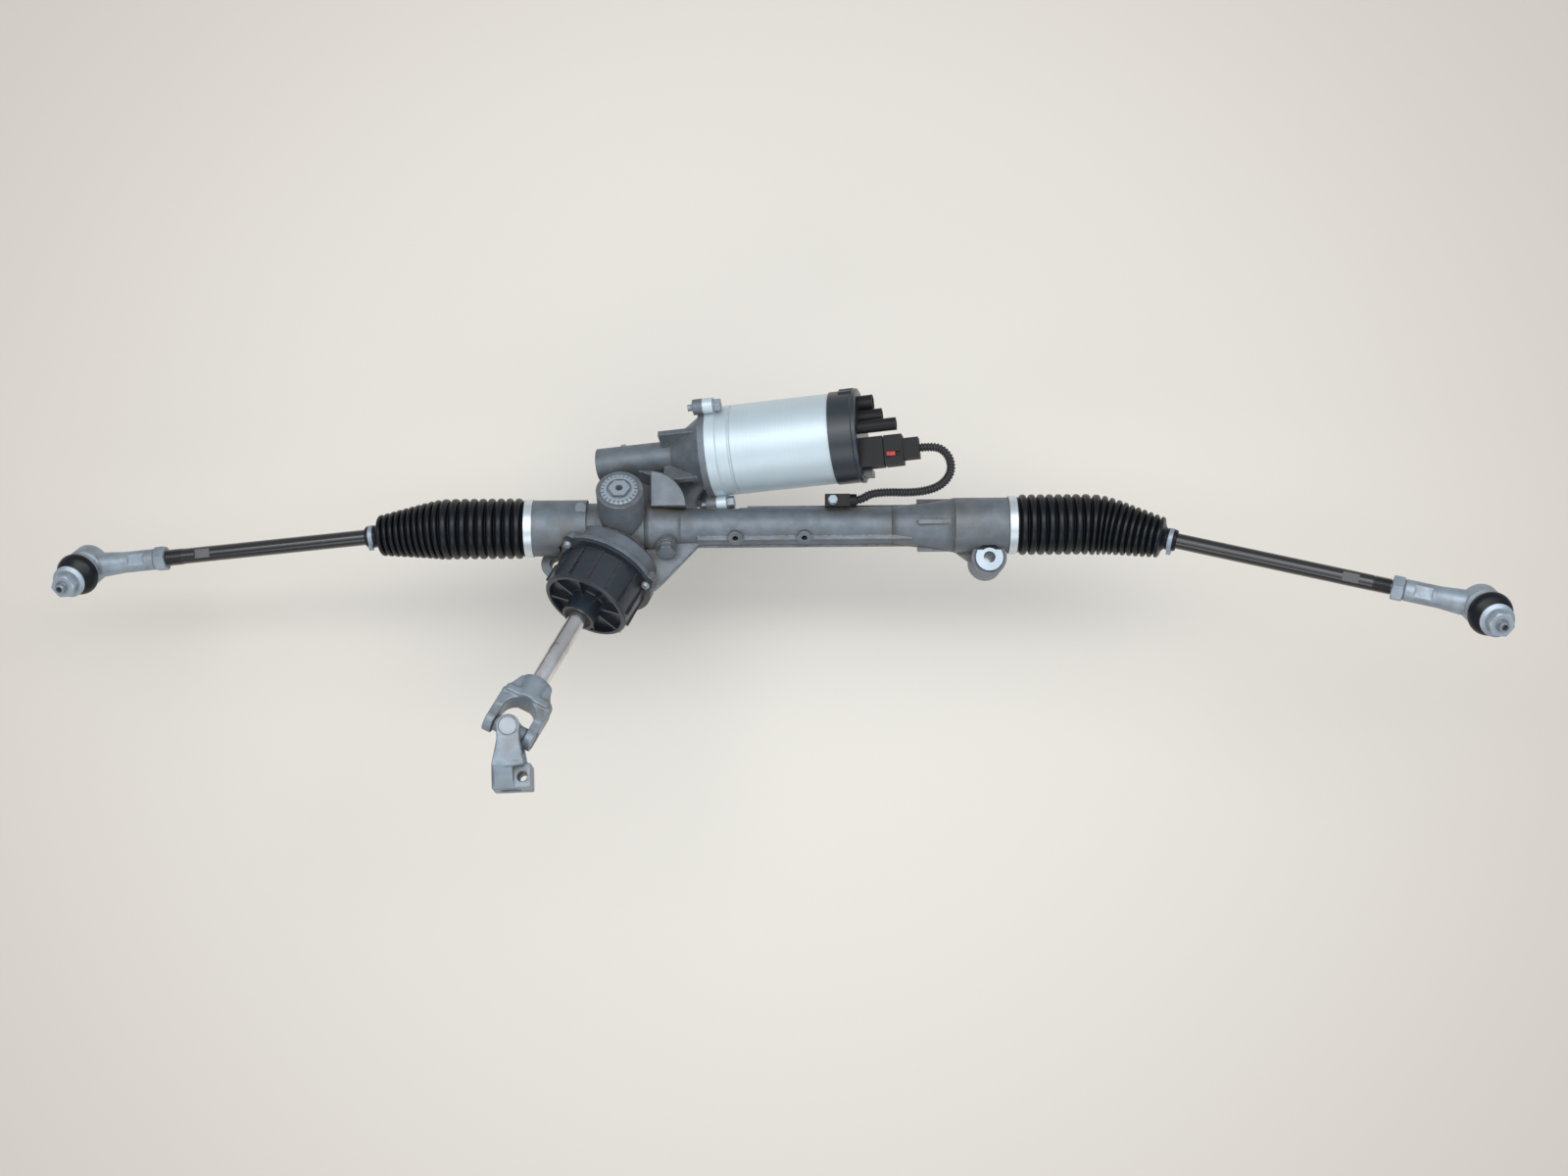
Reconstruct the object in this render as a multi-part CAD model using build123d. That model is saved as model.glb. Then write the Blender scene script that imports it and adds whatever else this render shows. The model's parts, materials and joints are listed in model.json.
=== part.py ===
from build123d import *
import os
from math import acos, cos, pi, radians, sin, sqrt, tan

# Electric power steering rack, in millimetres.
# +X runs along the rack, +Y points to the motor side, +Z runs along the mounting bolts.
# The origin is midway between the two mounting bolts, on the face that lies on the subframe.

# Mounting
BOLT_SPACING = 386.0
BOLT_HOLE_R = 5.25
LEFT_MOUNT_HEIGHT = 22.0
RIGHT_MOUNT_HEIGHT = 47.0
SLEEVE_WALL = 3.0
BUSH_WALL = 3.75
EAR_WALL = 3.5
LEFT_EAR_R = 13.0

# Rack
RACK_Y = 30.5
RACK_Z = 34.0
RACK_R = 13.0
RACK_HALF_LENGTH = 262.0
RACK_TRAVEL = 66.0
YOKE_TILT = 29.0
TOOTH_MODULE = 2.0
PRESSURE_ANGLE = 20.0
RACK_PITCH_LINE = 8.8
RACK_SPACES_EACH_SIDE = 13
BACKLASH = 0.24

# Pinion and input shaft
PINION_X = -131.5
PINION_SKEW = 24.0
PINION_TEETH = 8
PINION_SHIFT = 1.0
PINION_TIP_CUT = 0.3
PINION_GEAR_HALF = 19.0
PINION_JOURNAL_R = 8.0
INPUT_SHAFT_R = 8.0
TORSION_BAR_R = 2.5
SHAFT_JOIN_T = 38.0
JOINT_T = 218.0

# Worm drive
WHEEL_T = -63.0
WHEEL_WIDTH = 16.0
WORM_STARTS = 3
WORM_MODULE = 1.75
WHEEL_TEETH = 38
WORM_HALF = 16.0
MOTOR_YAW = 4.0
MOTOR_PITCH = 10.5

# Housing
TUBE_R = 17.0
RACK_CLEARANCE = 0.6
LEFT_END_R = 25.0
RIGHT_END_R = 24.4
END_INNER = 163.0
END_OUTER = 211.0
LIP_LENGTH = 8.0
LIP_R = 23.2
SOCKET_BORE_R = 20.6
SOCKET_BORE_DEPTH = END_OUTER + LIP_LENGTH + RACK_TRAVEL - RACK_HALF_LENGTH + 1
BARREL_R = 43.0
BARREL_START = 22.0
FLANGE_T = 40.0
FLANGE_R = 46.5
GEARBOX_R = 25.0
BEARING_R = 16.0
DRUM_WALL = 4.5
TOWER_R = 20.5
TOWER_TOP = 54.0
YOKE_R = 15.0
PLUG_R = 16.5
WORM_CASE_R = 14.5
WORM_CASE_START = -42.0
MOTOR_FACE_S = 64.0
MOTOR_R = 40.0
MOTOR_END_S = 174.0
ECU_END_S = 203.0
FIT = 0.05
GAP = 0.3

# Dust cover
COVER_R = 40.0
COVER_RIM_T = 79.0
COVER_COLLAR_T = 93.0
COVER_COLLAR_R = 15.0
COVER_WALL = 3.0
COVER_SCREW_ANGLES = (45.0, 165.0, 285.0)
COVER_SCREW_RADIUS = 44.5

# Worm wheel's lid
LID_SCREW_ANGLES = (65.0, 137.0, 209.0, 265.0)
LID_THICK = 3.5

# Tie rods
INNER_BALL_X = 292.0
INNER_BALL_R = 12.0
SOCKET_R = 18.0
SOCKET_MOUTH_R = 9.7
ROD_LENGTH = 333.0
ROD_R = 7.0
ROD_NECK_R = 5.5
LEFT_ROD_YAW = 4.4
LEFT_ROD_PITCH = -6.9
RIGHT_ROD_YAW = 15.2
RIGHT_ROD_PITCH = 13.2
JAM_NUT_START = 76.0
JAM_NUT_THICK = 10.0
JAM_NUT_FLATS = 20.0
FORGING_START = 66.0
FORGING_R = 9.5
OUTER_BALL_R = 11.0
BALL_HOUSING_R = 17.5
STUD_R = 6.2
THREAD_R = 5.0
POINT_R = 4.3
POINT_LENGTH = 4.0
STUD_LENGTH = 56.0
LEFT_STUD = (-0.148, -0.489, 0.860)
RIGHT_STUD = (0.010, -0.420, 0.907)

# Boots
BOOT_R = 27.0
BOOT_FOLD_DEPTH = 4.0
BOOT_COLLAR_R = 25.0
INNER_FOLDS = 9
OUTER_FOLDS = 10
BOOT_NECK_R = 9.2
BOOT_LENGTH = 362.0

# Universal joint
EAR_SPREAD = 22.5
EAR_INNER = 14.5
EAR_R = 10.0
CUP_R = 7.5
TRUNNION_R = 5.0
UPPER_COLLAR_R = 14.0
LOWER_BORE_R = 9.0
LOWER_LENGTH = 52.0
EARS_TURN = 79.1
UPPER_BEND = -20.6
LOWER_BEND = 28.5
PINCH_HOLE_R = 4.1

# Motor end: plug, sockets and the sensor lead
MOTOR_LUG_ANGLES = (-16.0, 124.0, 234.0)
PLUG_X = -20.0
PLUG_Y = 17.0
LEAD_R = 4.0
CONNECTOR_Z = 43.0
# The lead's route between the plug and the connector, chosen by hand along the photographed loop
LEAD_ROUTE = [
    (149.0, 90.5, 86.0),
    (157.0, 82.0, 83.0),
    (158.0, 70.0, 77.5),
    (150.0, 60.5, 71.0),
    (137.0, 56.5, 65.0),
    (121.0, 55.8, 60.5),
    (104.0, 57.2, 56.5),
    (88.0, 56.4, 53.0),
    (80.0, 51.5, 49.0),
    (72.1, 51.0, 48.5),
]

BASE = (Align.CENTER, Align.CENTER, Align.MIN)


def pose(origin, z_dir, x_dir):
    return Plane(origin=Vector(*origin), x_dir=Vector(*x_dir), z_dir=Vector(*z_dir)).location


def rod(place, radius, low, high):
    return place * Pos(0, 0, low) * Cylinder(radius, high - low, align=BASE)


def cone(place, low_r, high_r, low, high):
    return place * Pos(0, 0, low) * Cone(low_r, high_r, high - low, align=BASE)


def ring(place, outer, inner, low, high):
    return rod(place, outer, low, high) - rod(place, inner, low - 1, high + 1)


def hexagon(place, across, low, high):
    return place * Pos(0, 0, low) * extrude(RegularPolygon(across / 2, 6, major_radius=False), high - low)


def block(place, x_size, y_size, low, high, x=0.0, y=0.0):
    return place * Pos(x, y, low) * Box(x_size, y_size, high - low, align=BASE)


def turned(place, *points):
    """A solid of revolution about the local z axis, from (radius, z) points."""
    profile = make_face(Polyline(*[(r, 0, z) for r, z in points], close=True))
    return place * revolve(profile, Axis.Z)


def joined(*shapes):
    return shapes[0].fuse(*shapes[1:]) if len(shapes) > 1 else shapes[0]


# Directions and places worked out from the driving dimensions
YOKE_DIR = Vector(0, sin(radians(YOKE_TILT)), cos(radians(YOKE_TILT)))
CROSS_DIR = Vector(0, -cos(radians(YOKE_TILT)), sin(radians(YOKE_TILT)))
PINION_DIR = CROSS_DIR * cos(radians(PINION_SKEW)) - Vector(1, 0, 0) * sin(radians(PINION_SKEW))
MOTOR_DIR = Vector(
    cos(radians(MOTOR_PITCH)) * cos(radians(MOTOR_YAW)),
    cos(radians(MOTOR_PITCH)) * sin(radians(MOTOR_YAW)),
    sin(radians(MOTOR_PITCH)),
)
ACROSS_DIR = PINION_DIR.cross(MOTOR_DIR).normalized()

PINION_PITCH_R = PINION_TEETH * TOOTH_MODULE / 2 / cos(radians(PINION_SKEW))
PINION_OFFSET = RACK_PITCH_LINE + PINION_PITCH_R + PINION_SHIFT
WORM_TURN = abs(PINION_DIR.dot(MOTOR_DIR))
WORM_PITCH_R = WORM_STARTS * WORM_MODULE / 2 / WORM_TURN
WHEEL_PITCH_R = WHEEL_TEETH * WORM_MODULE / 2
DRUM_R = WHEEL_PITCH_R + WORM_MODULE + 2.0

RACK_CENTRE = Vector(0, RACK_Y, RACK_Z)
YOKE_FOOT = Vector(PINION_X, RACK_Y, RACK_Z)
PINION_CENTRE = YOKE_FOOT - YOKE_DIR * PINION_OFFSET
WHEEL_CENTRE = PINION_CENTRE + PINION_DIR * WHEEL_T
WORM_CENTRE = WHEEL_CENTRE + ACROSS_DIR * (WORM_PITCH_R + WHEEL_PITCH_R)

RACK = pose(RACK_CENTRE, (1, 0, 0), YOKE_DIR)
TEETH = pose(YOKE_FOOT, CROSS_DIR, (1, 0, 0))
YOKE = pose(YOKE_FOOT, YOKE_DIR, (1, 0, 0))
PINION = pose(PINION_CENTRE, PINION_DIR, YOKE_DIR)
WHEEL = pose(WHEEL_CENTRE, PINION_DIR, ACROSS_DIR)
MOTOR = pose(WORM_CENTRE, MOTOR_DIR, ACROSS_DIR)
# The motor's own upright frame: local x is level and away from the rack, local y is up.
CAP = pose(WORM_CENTRE, MOTOR_DIR, Vector(0, 1, 0) - MOTOR_DIR * MOTOR_DIR.Y)
LEFT_MOUNT = Pos(-BOLT_SPACING / 2, 0, 0)
RIGHT_MOUNT = Pos(BOLT_SPACING / 2, 0, 0)
MOUNT_R = BOLT_HOLE_R + SLEEVE_WALL + BUSH_WALL + EAR_WALL

JOINT_CENTRE = PINION_CENTRE + PINION_DIR * JOINT_T
UPPER_EARS = YOKE_DIR.rotate(Axis((0, 0, 0), PINION_DIR), EARS_TURN)
LOWER_EARS = UPPER_EARS.cross(PINION_DIR).rotate(Axis((0, 0, 0), UPPER_EARS), UPPER_BEND)
LOWER_DIR = PINION_DIR.rotate(Axis((0, 0, 0), UPPER_EARS), UPPER_BEND).rotate(Axis((0, 0, 0), LOWER_EARS), LOWER_BEND)


def polar(place, angle, radius):
    return place * Rot(0, 0, angle) * Pos(radius, 0, 0)


def involute(angle):
    return tan(angle) - angle


def gear_outline(teeth, pitch_r, normal_module, helix_turn, shift, tip_r, root_r, thinning, steps):
    """Points round a gear, with a tooth centred on +x; helix_turn is the cosine of the helix angle."""
    transverse = normal_module / helix_turn
    pressure = pressure_angle(helix_turn)
    base_r = pitch_r * cos(pressure)
    thickness = pi * transverse / 2 + 2 * shift * tan(pressure) - thinning
    half_base = thickness / 2 / pitch_r + involute(pressure)
    start_r = max(base_r, root_r)
    flank = []
    for step in range(steps + 1):
        r = start_r + (tip_r - start_r) * step / steps
        flank.append((r, half_base - involute(acos(min(1.0, base_r / r)))))
    if root_r < base_r:
        flank.insert(0, (root_r, half_base))
    points = []
    for tooth in range(teeth):
        middle = 2 * pi * tooth / teeth
        for r, half in flank:
            points.append((r * cos(middle - half), r * sin(middle - half)))
        for r, half in reversed(flank):
            points.append((r * cos(middle + half), r * sin(middle + half)))
    return points


def pressure_angle(helix_turn):
    tangent = tan(radians(PRESSURE_ANGLE)) / helix_turn
    return acos(1 / sqrt(1 + tangent * tangent))


def helical_gear(place, outline, low, high, turn_per_mm, sections):
    """A gear of straight-sided slices, each turned a little further than the last."""
    slices = []
    for index in range(sections + 1):
        z = low + (high - low) * index / sections
        face = make_face(Polyline(*[(x, y, 0) for x, y in outline], close=True))
        slices.append(Pos(0, 0, z) * Rot(0, 0, turn_per_mm * z) * face)
    return place * loft(slices, ruled=True)


def make_rack_bar():
    pitch = pi * TOOTH_MODULE
    slope = tan(radians(PRESSURE_ANGLE))
    top = RACK_PITCH_LINE + TOOTH_MODULE
    root = RACK_PITCH_LINE - 1.25 * TOOTH_MODULE
    top_half = pitch / 4 + BACKLASH / 4 + (top - RACK_PITCH_LINE) * slope
    root_half = pitch / 4 + BACKLASH / 4 - (RACK_PITCH_LINE - root) * slope
    reach = (RACK_SPACES_EACH_SIDE + 0.5) * pitch
    beyond = RACK_R + 2
    points = [(-reach, beyond), (-reach, top)]
    for space in range(-RACK_SPACES_EACH_SIDE, RACK_SPACES_EACH_SIDE + 1):
        middle = space * pitch
        points.append((middle - top_half, top))
        points.append((middle - root_half, root))
        points.append((middle + root_half, root))
        points.append((middle + top_half, top))
    points += [(reach, top), (reach, beyond)]
    comb = make_face(Polyline(*[(x, -y, 0) for x, y in points], close=True))
    cutter = TEETH * Pos(0, 0, -beyond) * extrude(comb, 2 * beyond)
    bar = rod(RACK, RACK_R, -RACK_HALF_LENGTH, RACK_HALF_LENGTH)
    stud = SOCKET_R / 2
    ends = rod(RACK, stud, -RACK_HALF_LENGTH - 13, RACK_HALF_LENGTH + 13)
    return joined(bar, ends) - cutter


def make_pinion_shaft():
    tip_r = PINION_PITCH_R + PINION_SHIFT + TOOTH_MODULE - PINION_TIP_CUT
    root_r = PINION_PITCH_R + PINION_SHIFT - 1.25 * TOOTH_MODULE
    turn = cos(radians(PINION_SKEW))
    outline = gear_outline(
        PINION_TEETH, PINION_PITCH_R, TOOTH_MODULE, turn, PINION_SHIFT, tip_r, root_r, BACKLASH, 4
    )
    twist = -tan(radians(PINION_SKEW)) / PINION_PITCH_R * 180 / pi
    gear = helical_gear(PINION, outline, -PINION_GEAR_HALF, PINION_GEAR_HALF, twist, 14)
    upper = rod(PINION, PINION_JOURNAL_R, PINION_GEAR_HALF - 0.01, SHAFT_JOIN_T)
    lower = rod(PINION, PINION_JOURNAL_R, WHEEL_T - WHEEL_WIDTH / 2 - 5, 0.01 - PINION_GEAR_HALF)
    bore = rod(PINION, TORSION_BAR_R + FIT, -12, SHAFT_JOIN_T + 1)
    return joined(gear, upper, lower) - bore


def make_input_shaft():
    low = SHAFT_JOIN_T + GAP
    high = JOINT_T - EAR_SPREAD - 6
    shaft = rod(PINION, INPUT_SHAFT_R, low, high)
    return shaft - rod(PINION, TORSION_BAR_R + FIT, low - 1, 121)


def make_torsion_bar():
    return rod(PINION, TORSION_BAR_R, -11.5, 120)


def make_worm_wheel():
    tip_r = WHEEL_PITCH_R + WORM_MODULE
    root_r = WHEEL_PITCH_R - 1.25 * WORM_MODULE
    outline = gear_outline(WHEEL_TEETH, WHEEL_PITCH_R, WORM_MODULE, 1.0, 0.0, tip_r, root_r, BACKLASH, 3)
    face = make_face(Polyline(*[(x, y, 0) for x, y in outline], close=True))
    half = WHEEL_WIDTH / 2
    wheel = WHEEL * Pos(0, 0, -half) * extrude(face, WHEEL_WIDTH)
    rim_r = root_r - 4
    hub_r = PINION_JOURNAL_R + 7
    recess = ring(WHEEL, rim_r, hub_r, half - 4, half + 1) + ring(WHEEL, rim_r, hub_r, -half - 1, 4 - half)
    holes = [rod(polar(WHEEL, 60 * k, (rim_r + hub_r) / 2), 4, -half, half) for k in range(6)]
    hub = ring(WHEEL, hub_r, PINION_JOURNAL_R, -half - 2, half + 2)
    return joined(wheel - recess - joined(*holes), hub) - rod(WHEEL, PINION_JOURNAL_R, -half - 3, half + 3)


def make_worm_shaft():
    tip_r = WORM_PITCH_R + WORM_MODULE
    root_r = WORM_PITCH_R - 1.25 * WORM_MODULE
    thinning = BACKLASH / WORM_TURN
    outline = gear_outline(WORM_STARTS, WORM_PITCH_R, WORM_MODULE, WORM_TURN, 0.0, tip_r, root_r, thinning, 4)
    lead_turn = sqrt(1 - WORM_TURN * WORM_TURN) / WORM_TURN / WORM_PITCH_R * 180 / pi
    gear = helical_gear(MOTOR, outline, -WORM_HALF, WORM_HALF, lead_turn, 36)
    journal = root_r - FIT
    shaft = rod(MOTOR, journal, WORM_CASE_START + 5, MOTOR_END_S - 6)
    return joined(gear, shaft)


def make_motor_rotor():
    bore = WORM_PITCH_R - 1.25 * WORM_MODULE - FIT
    return ring(MOTOR, 23.4, bore, MOTOR_FACE_S + 24, MOTOR_END_S - 22)


def housing_outside():
    drum_low = WHEEL_T - WHEEL_WIDTH / 2 - 6
    drum_high = WHEEL_T + WHEEL_WIDTH / 2 + 7
    shapes = [
        rod(RACK, TUBE_R, -END_INNER, 140),
        rod(RACK, LEFT_END_R, -END_OUTER, -END_INNER),
        rod(RACK, LEFT_END_R - 3, -END_INNER - 1, -105),
        rod(RACK, LIP_R, -END_OUTER - LIP_LENGTH, -END_OUTER + 1),
        cone(RACK, TUBE_R, RIGHT_END_R - 3, 125, END_INNER + 1),
        rod(RACK, RIGHT_END_R, END_INNER, END_OUTER),
        rod(RACK, LIP_R, END_OUTER - 1, END_OUTER + LIP_LENGTH),
        rod(PINION, GEARBOX_R, drum_high - 1, BARREL_START),
        cone(PINION, GEARBOX_R, BARREL_R, BARREL_START - 16, BARREL_START),
        rod(PINION, BARREL_R, BARREL_START, FLANGE_T),
        rod(PINION, FLANGE_R, FLANGE_T - 4, FLANGE_T),
        rod(YOKE, TOWER_R, 0, TOWER_TOP),
        rod(PINION, DRUM_R + DRUM_WALL, drum_low, drum_high),
        rod(MOTOR, WORM_CASE_R, WORM_CASE_START, 40),
        cone(MOTOR, WORM_CASE_R + 1, MOTOR_R - 4, 28, MOTOR_FACE_S - 5),
        rod(MOTOR, MOTOR_R + 1, MOTOR_FACE_S - 6, MOTOR_FACE_S),
    ]
    shapes += motor_lugs(MOTOR_FACE_S - 9, MOTOR_FACE_S)
    shapes += cover_lugs(FLANGE_T - 7, FLANGE_T)
    shapes += [rod(lid_place(angle), 5.5, drum_low, drum_low + 10) for angle in LID_SCREW_ANGLES]
    shapes.append(Pos(57, 45, CONNECTOR_Z - 10) * Box(14, 12, 10, align=BASE))
    shapes += mount_ears() + tube_bosses() + stiffening_ribs()
    return joined(*shapes)


def lug_place(angle):
    return polar(MOTOR, angle, MOTOR_R + 7)


def lid_place(angle):
    return polar(PINION, angle, DRUM_R + DRUM_WALL + 2)


def motor_lugs(low, high):
    return [rod(lug_place(angle), 7, low, high) for angle in MOTOR_LUG_ANGLES]


def cover_lugs(low, high):
    return [rod(polar(PINION, angle, COVER_SCREW_RADIUS), 6, low, high) for angle in COVER_SCREW_ANGLES]


def mount_ears():
    left_arm = block(LEFT_MOUNT, 22, 30, 0, LEFT_MOUNT_HEIGHT, x=6, y=15)
    right_arm = block(RIGHT_MOUNT, 2 * MOUNT_R - 3, RACK_Y, 6, RIGHT_MOUNT_HEIGHT - 12, x=-1, y=RACK_Y / 2)
    gusset = make_face(Polyline((0, 0, 0), (-52, 0, 0), (-12, -30, 0), (0, -30, 0), close=True))
    return [
        rod(LEFT_MOUNT, LEFT_EAR_R, 0, LEFT_MOUNT_HEIGHT),
        rod(RIGHT_MOUNT, MOUNT_R, 0.5, RIGHT_MOUNT_HEIGHT - 4),
        left_arm,
        right_arm,
        RIGHT_MOUNT * Pos(0, RACK_Y - 6, 24) * extrude(gusset, 6),
    ]


def tube_boss(x, tilt, radius, height):
    """A round pad on the front upper side of the tube, tilted forward from straight up."""
    direction = (0, -sin(radians(tilt)), cos(radians(tilt)))
    return pose((x, RACK_Y, RACK_Z), direction, (1, 0, 0)), radius, height


CLIP_BOSSES = [tube_boss(-31.5, 38, 6.5, TUBE_R + 4), tube_boss(29.5, 38, 6.5, TUBE_R + 4)]
TEST_BOSS = tube_boss(-92.5, 55, 9.5, 24.0)
TEST_PLUG_R = 5.0


def tube_bosses():
    shapes = [rod(place, radius, 0, height) for place, radius, height in CLIP_BOSSES + [TEST_BOSS]]
    shapes.append(rod(pose((-167.6, 45.6, RACK_Z), (0, 0, 1), (1, 0, 0)), 5, 0, 22))
    return shapes


def stiffening_ribs():
    along = Pos(0, RACK_Y, RACK_Z)
    wing = TUBE_R + 1.5
    ribs = [
        along * Pos(10, -wing / 2, 0) * Box(230, wing, 3.5),
        along * Pos(52, wing / 2, 0) * Box(146, wing, 3.5),
        along * Pos(30, -12, 0) * Box(190, 3.5, 2 * TUBE_R - 6),
        along * Pos(148, 0, 0) * Box(36, 2 * RIGHT_END_R - 2, 4),
        along * Pos(148, 0, 0) * Box(36, 4, 2 * RIGHT_END_R - 2),
    ]
    ribs.append(block(PINION, 4, 2 * GEARBOX_R + 20, -30, BARREL_START + 4, x=-4))
    ribs.append(block(MOTOR, 5, 2 * MOTOR_R - 18, 20, MOTOR_FACE_S - 6))
    ribs.append(block(MOTOR, 2 * MOTOR_R - 18, 5, 20, MOTOR_FACE_S - 6))
    return ribs


def housing_cuts():
    drum_low = WHEEL_T - WHEEL_WIDTH / 2 - 6
    drum_high = WHEEL_T + WHEEL_WIDTH / 2 + 2.5
    end = END_OUTER + LIP_LENGTH
    cuts = [
        rod(RACK, RACK_R + RACK_CLEARANCE, -end - 1, end + 1),
        rod(RACK, SOCKET_BORE_R, -end - 1, SOCKET_BORE_DEPTH - end),
        rod(RACK, SOCKET_BORE_R, end - SOCKET_BORE_DEPTH, end + 1),
        rod(RACK, RACK_R + 2.5, end - SOCKET_BORE_DEPTH - 16, end - SOCKET_BORE_DEPTH + 1),
        rod(PINION, BEARING_R, -22, FLANGE_T + 1),
        rod(PINION, BEARING_R - 2, drum_high - 1, -20),
        rod(PINION, DRUM_R, drum_low - 1, drum_high),
        rod(MOTOR, WORM_PITCH_R + WORM_MODULE + 0.8, WORM_CASE_START + 4, MOTOR_FACE_S + 1),
        cone(MOTOR, 12, MOTOR_R - 10, 38, MOTOR_FACE_S + 1),
        rod(YOKE, YOKE_R + FIT, 0, TOWER_TOP + 1),
        rod(YOKE, PLUG_R, TOWER_TOP - 14, TOWER_TOP + 1),
        rod(LEFT_MOUNT, BOLT_HOLE_R, -1, LEFT_MOUNT_HEIGHT + 1),
        rod(RIGHT_MOUNT, BOLT_HOLE_R + SLEEVE_WALL + BUSH_WALL, -1, RIGHT_MOUNT_HEIGHT + 1),
    ]
    cuts += [rod(place, 2.6, TUBE_R - 4, height + 1) for place, _, height in CLIP_BOSSES]
    place, _, height = TEST_BOSS
    cuts.append(rod(place, TEST_PLUG_R, RACK_R + 1, height + 1))
    cuts += [rod(lug_place(angle), 3.05, MOTOR_FACE_S - 15, MOTOR_FACE_S + 1) for angle in MOTOR_LUG_ANGLES]
    cuts += [rod(polar(PINION, angle, COVER_SCREW_RADIUS), 2.05, FLANGE_T - 12, FLANGE_T + 1)
             for angle in COVER_SCREW_ANGLES]
    cuts += [rod(polar(PINION, angle, COVER_SCREW_RADIUS), 6.4, FLANGE_T, FLANGE_T + 9)
             for angle in COVER_SCREW_ANGLES]
    cuts.append(rod(PINION, FLANGE_R + 0.4, FLANGE_T, FLANGE_T + 5))
    cuts.append(rod(PINION, COVER_R + 2.0, FLANGE_T, FLANGE_T + 60))
    lid = WHEEL_T - WHEEL_WIDTH / 2 - 6
    cuts += [rod(lid_place(angle), 2.05, lid - 1, lid + 9) for angle in LID_SCREW_ANGLES]
    cuts += [rod(lug_place(angle), 7.8, MOTOR_FACE_S, MOTOR_FACE_S + 20) for angle in MOTOR_LUG_ANGLES]
    cuts.append(rod(MOTOR, MOTOR_R + 1.6, MOTOR_FACE_S, ECU_END_S))
    return joined(*cuts)


def make_main_housing():
    return housing_outside() - housing_cuts()


def rod_direction(side, yaw, pitch):
    level = cos(radians(pitch))
    return Vector(side * level * cos(radians(yaw)), -level * sin(radians(yaw)), sin(radians(pitch)))


class Side:
    """One end of the rack: the boot, tie rod and ball stud places follow from the rod's direction."""

    def __init__(self, side, yaw, pitch, stud):
        self.side = side
        self.direction = rod_direction(side, yaw, pitch)
        self.inner_ball = Vector(side * INNER_BALL_X, RACK_Y, RACK_Z)
        self.outer_ball = self.inner_ball + self.direction * ROD_LENGTH
        self.axis = pose((0, RACK_Y, RACK_Z), (side, 0, 0), YOKE_DIR)
        self.ball = pose(self.inner_ball, (side, 0, 0), YOKE_DIR)
        self.rod = pose(self.inner_ball, self.direction, self.direction.cross(Vector(0, 1, 0)))
        self.stud = pose(self.outer_ball, stud, self.direction)


LEFT = Side(-1, LEFT_ROD_YAW, LEFT_ROD_PITCH, LEFT_STUD)
RIGHT = Side(1, RIGHT_ROD_YAW, RIGHT_ROD_PITCH, RIGHT_STUD)
INNER_CAVITY_R = INNER_BALL_R + 0.2
OUTER_CAVITY_R = OUTER_BALL_R + 0.2


def make_inner_socket(end):
    low = RACK_HALF_LENGTH - INNER_BALL_X
    body = turned(end.ball, (0, low), (SOCKET_R, low), (SOCKET_R, 6), (SOCKET_R - 2.5, 9), (0, 9))
    flats = block(end.ball, 2 * SOCKET_R + 4, 2 * SOCKET_R + 4, low - 1, low + 7)
    flats -= block(end.ball, 2 * SOCKET_R - 5, 2 * SOCKET_R + 4, low - 2, low + 8)
    mouth = turned(end.ball, (0, 0), (SOCKET_MOUTH_R, 0), (SOCKET_MOUTH_R, 5), (SOCKET_MOUTH_R + 4.2, 11), (0, 11))
    thread = rod(end.ball, SOCKET_R / 2, low - 1, low + 13)
    return body - flats - end.ball * Sphere(INNER_CAVITY_R) - mouth - thread


def make_tie_rod(end):
    neck_end = 24
    thread_start = ROD_LENGTH - JAM_NUT_START - 16
    parts = [
        end.rod * Sphere(INNER_BALL_R),
        rod(end.rod, ROD_NECK_R, 5, neck_end),
        cone(end.rod, ROD_NECK_R, ROD_R, neck_end - 4, neck_end),
        rod(end.rod, ROD_R, neck_end, thread_start),
        rod(end.rod, ROD_R - 0.5, thread_start - 1, ROD_LENGTH - FORGING_START + 18),
    ]
    flats = block(end.rod, 2 * ROD_R + 4, 2 * ROD_R + 4, thread_start - 26, thread_start - 12)
    flats -= block(end.rod, 2 * ROD_R - 2.6, 2 * ROD_R + 6, thread_start - 27, thread_start - 11)
    return joined(*parts) - flats


def make_jam_nut(end):
    low = ROD_LENGTH - JAM_NUT_START
    nut = hexagon(end.rod, JAM_NUT_FLATS, low, low + JAM_NUT_THICK)
    nut &= turned(end.rod, (0, low), (9.8, low), (12, low + 1.4), (12, low + 8.6), (9.8, low + 10), (0, low + 10))
    return nut - rod(end.rod, ROD_R - 0.5, low - 1, low + JAM_NUT_THICK + 1)


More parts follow.
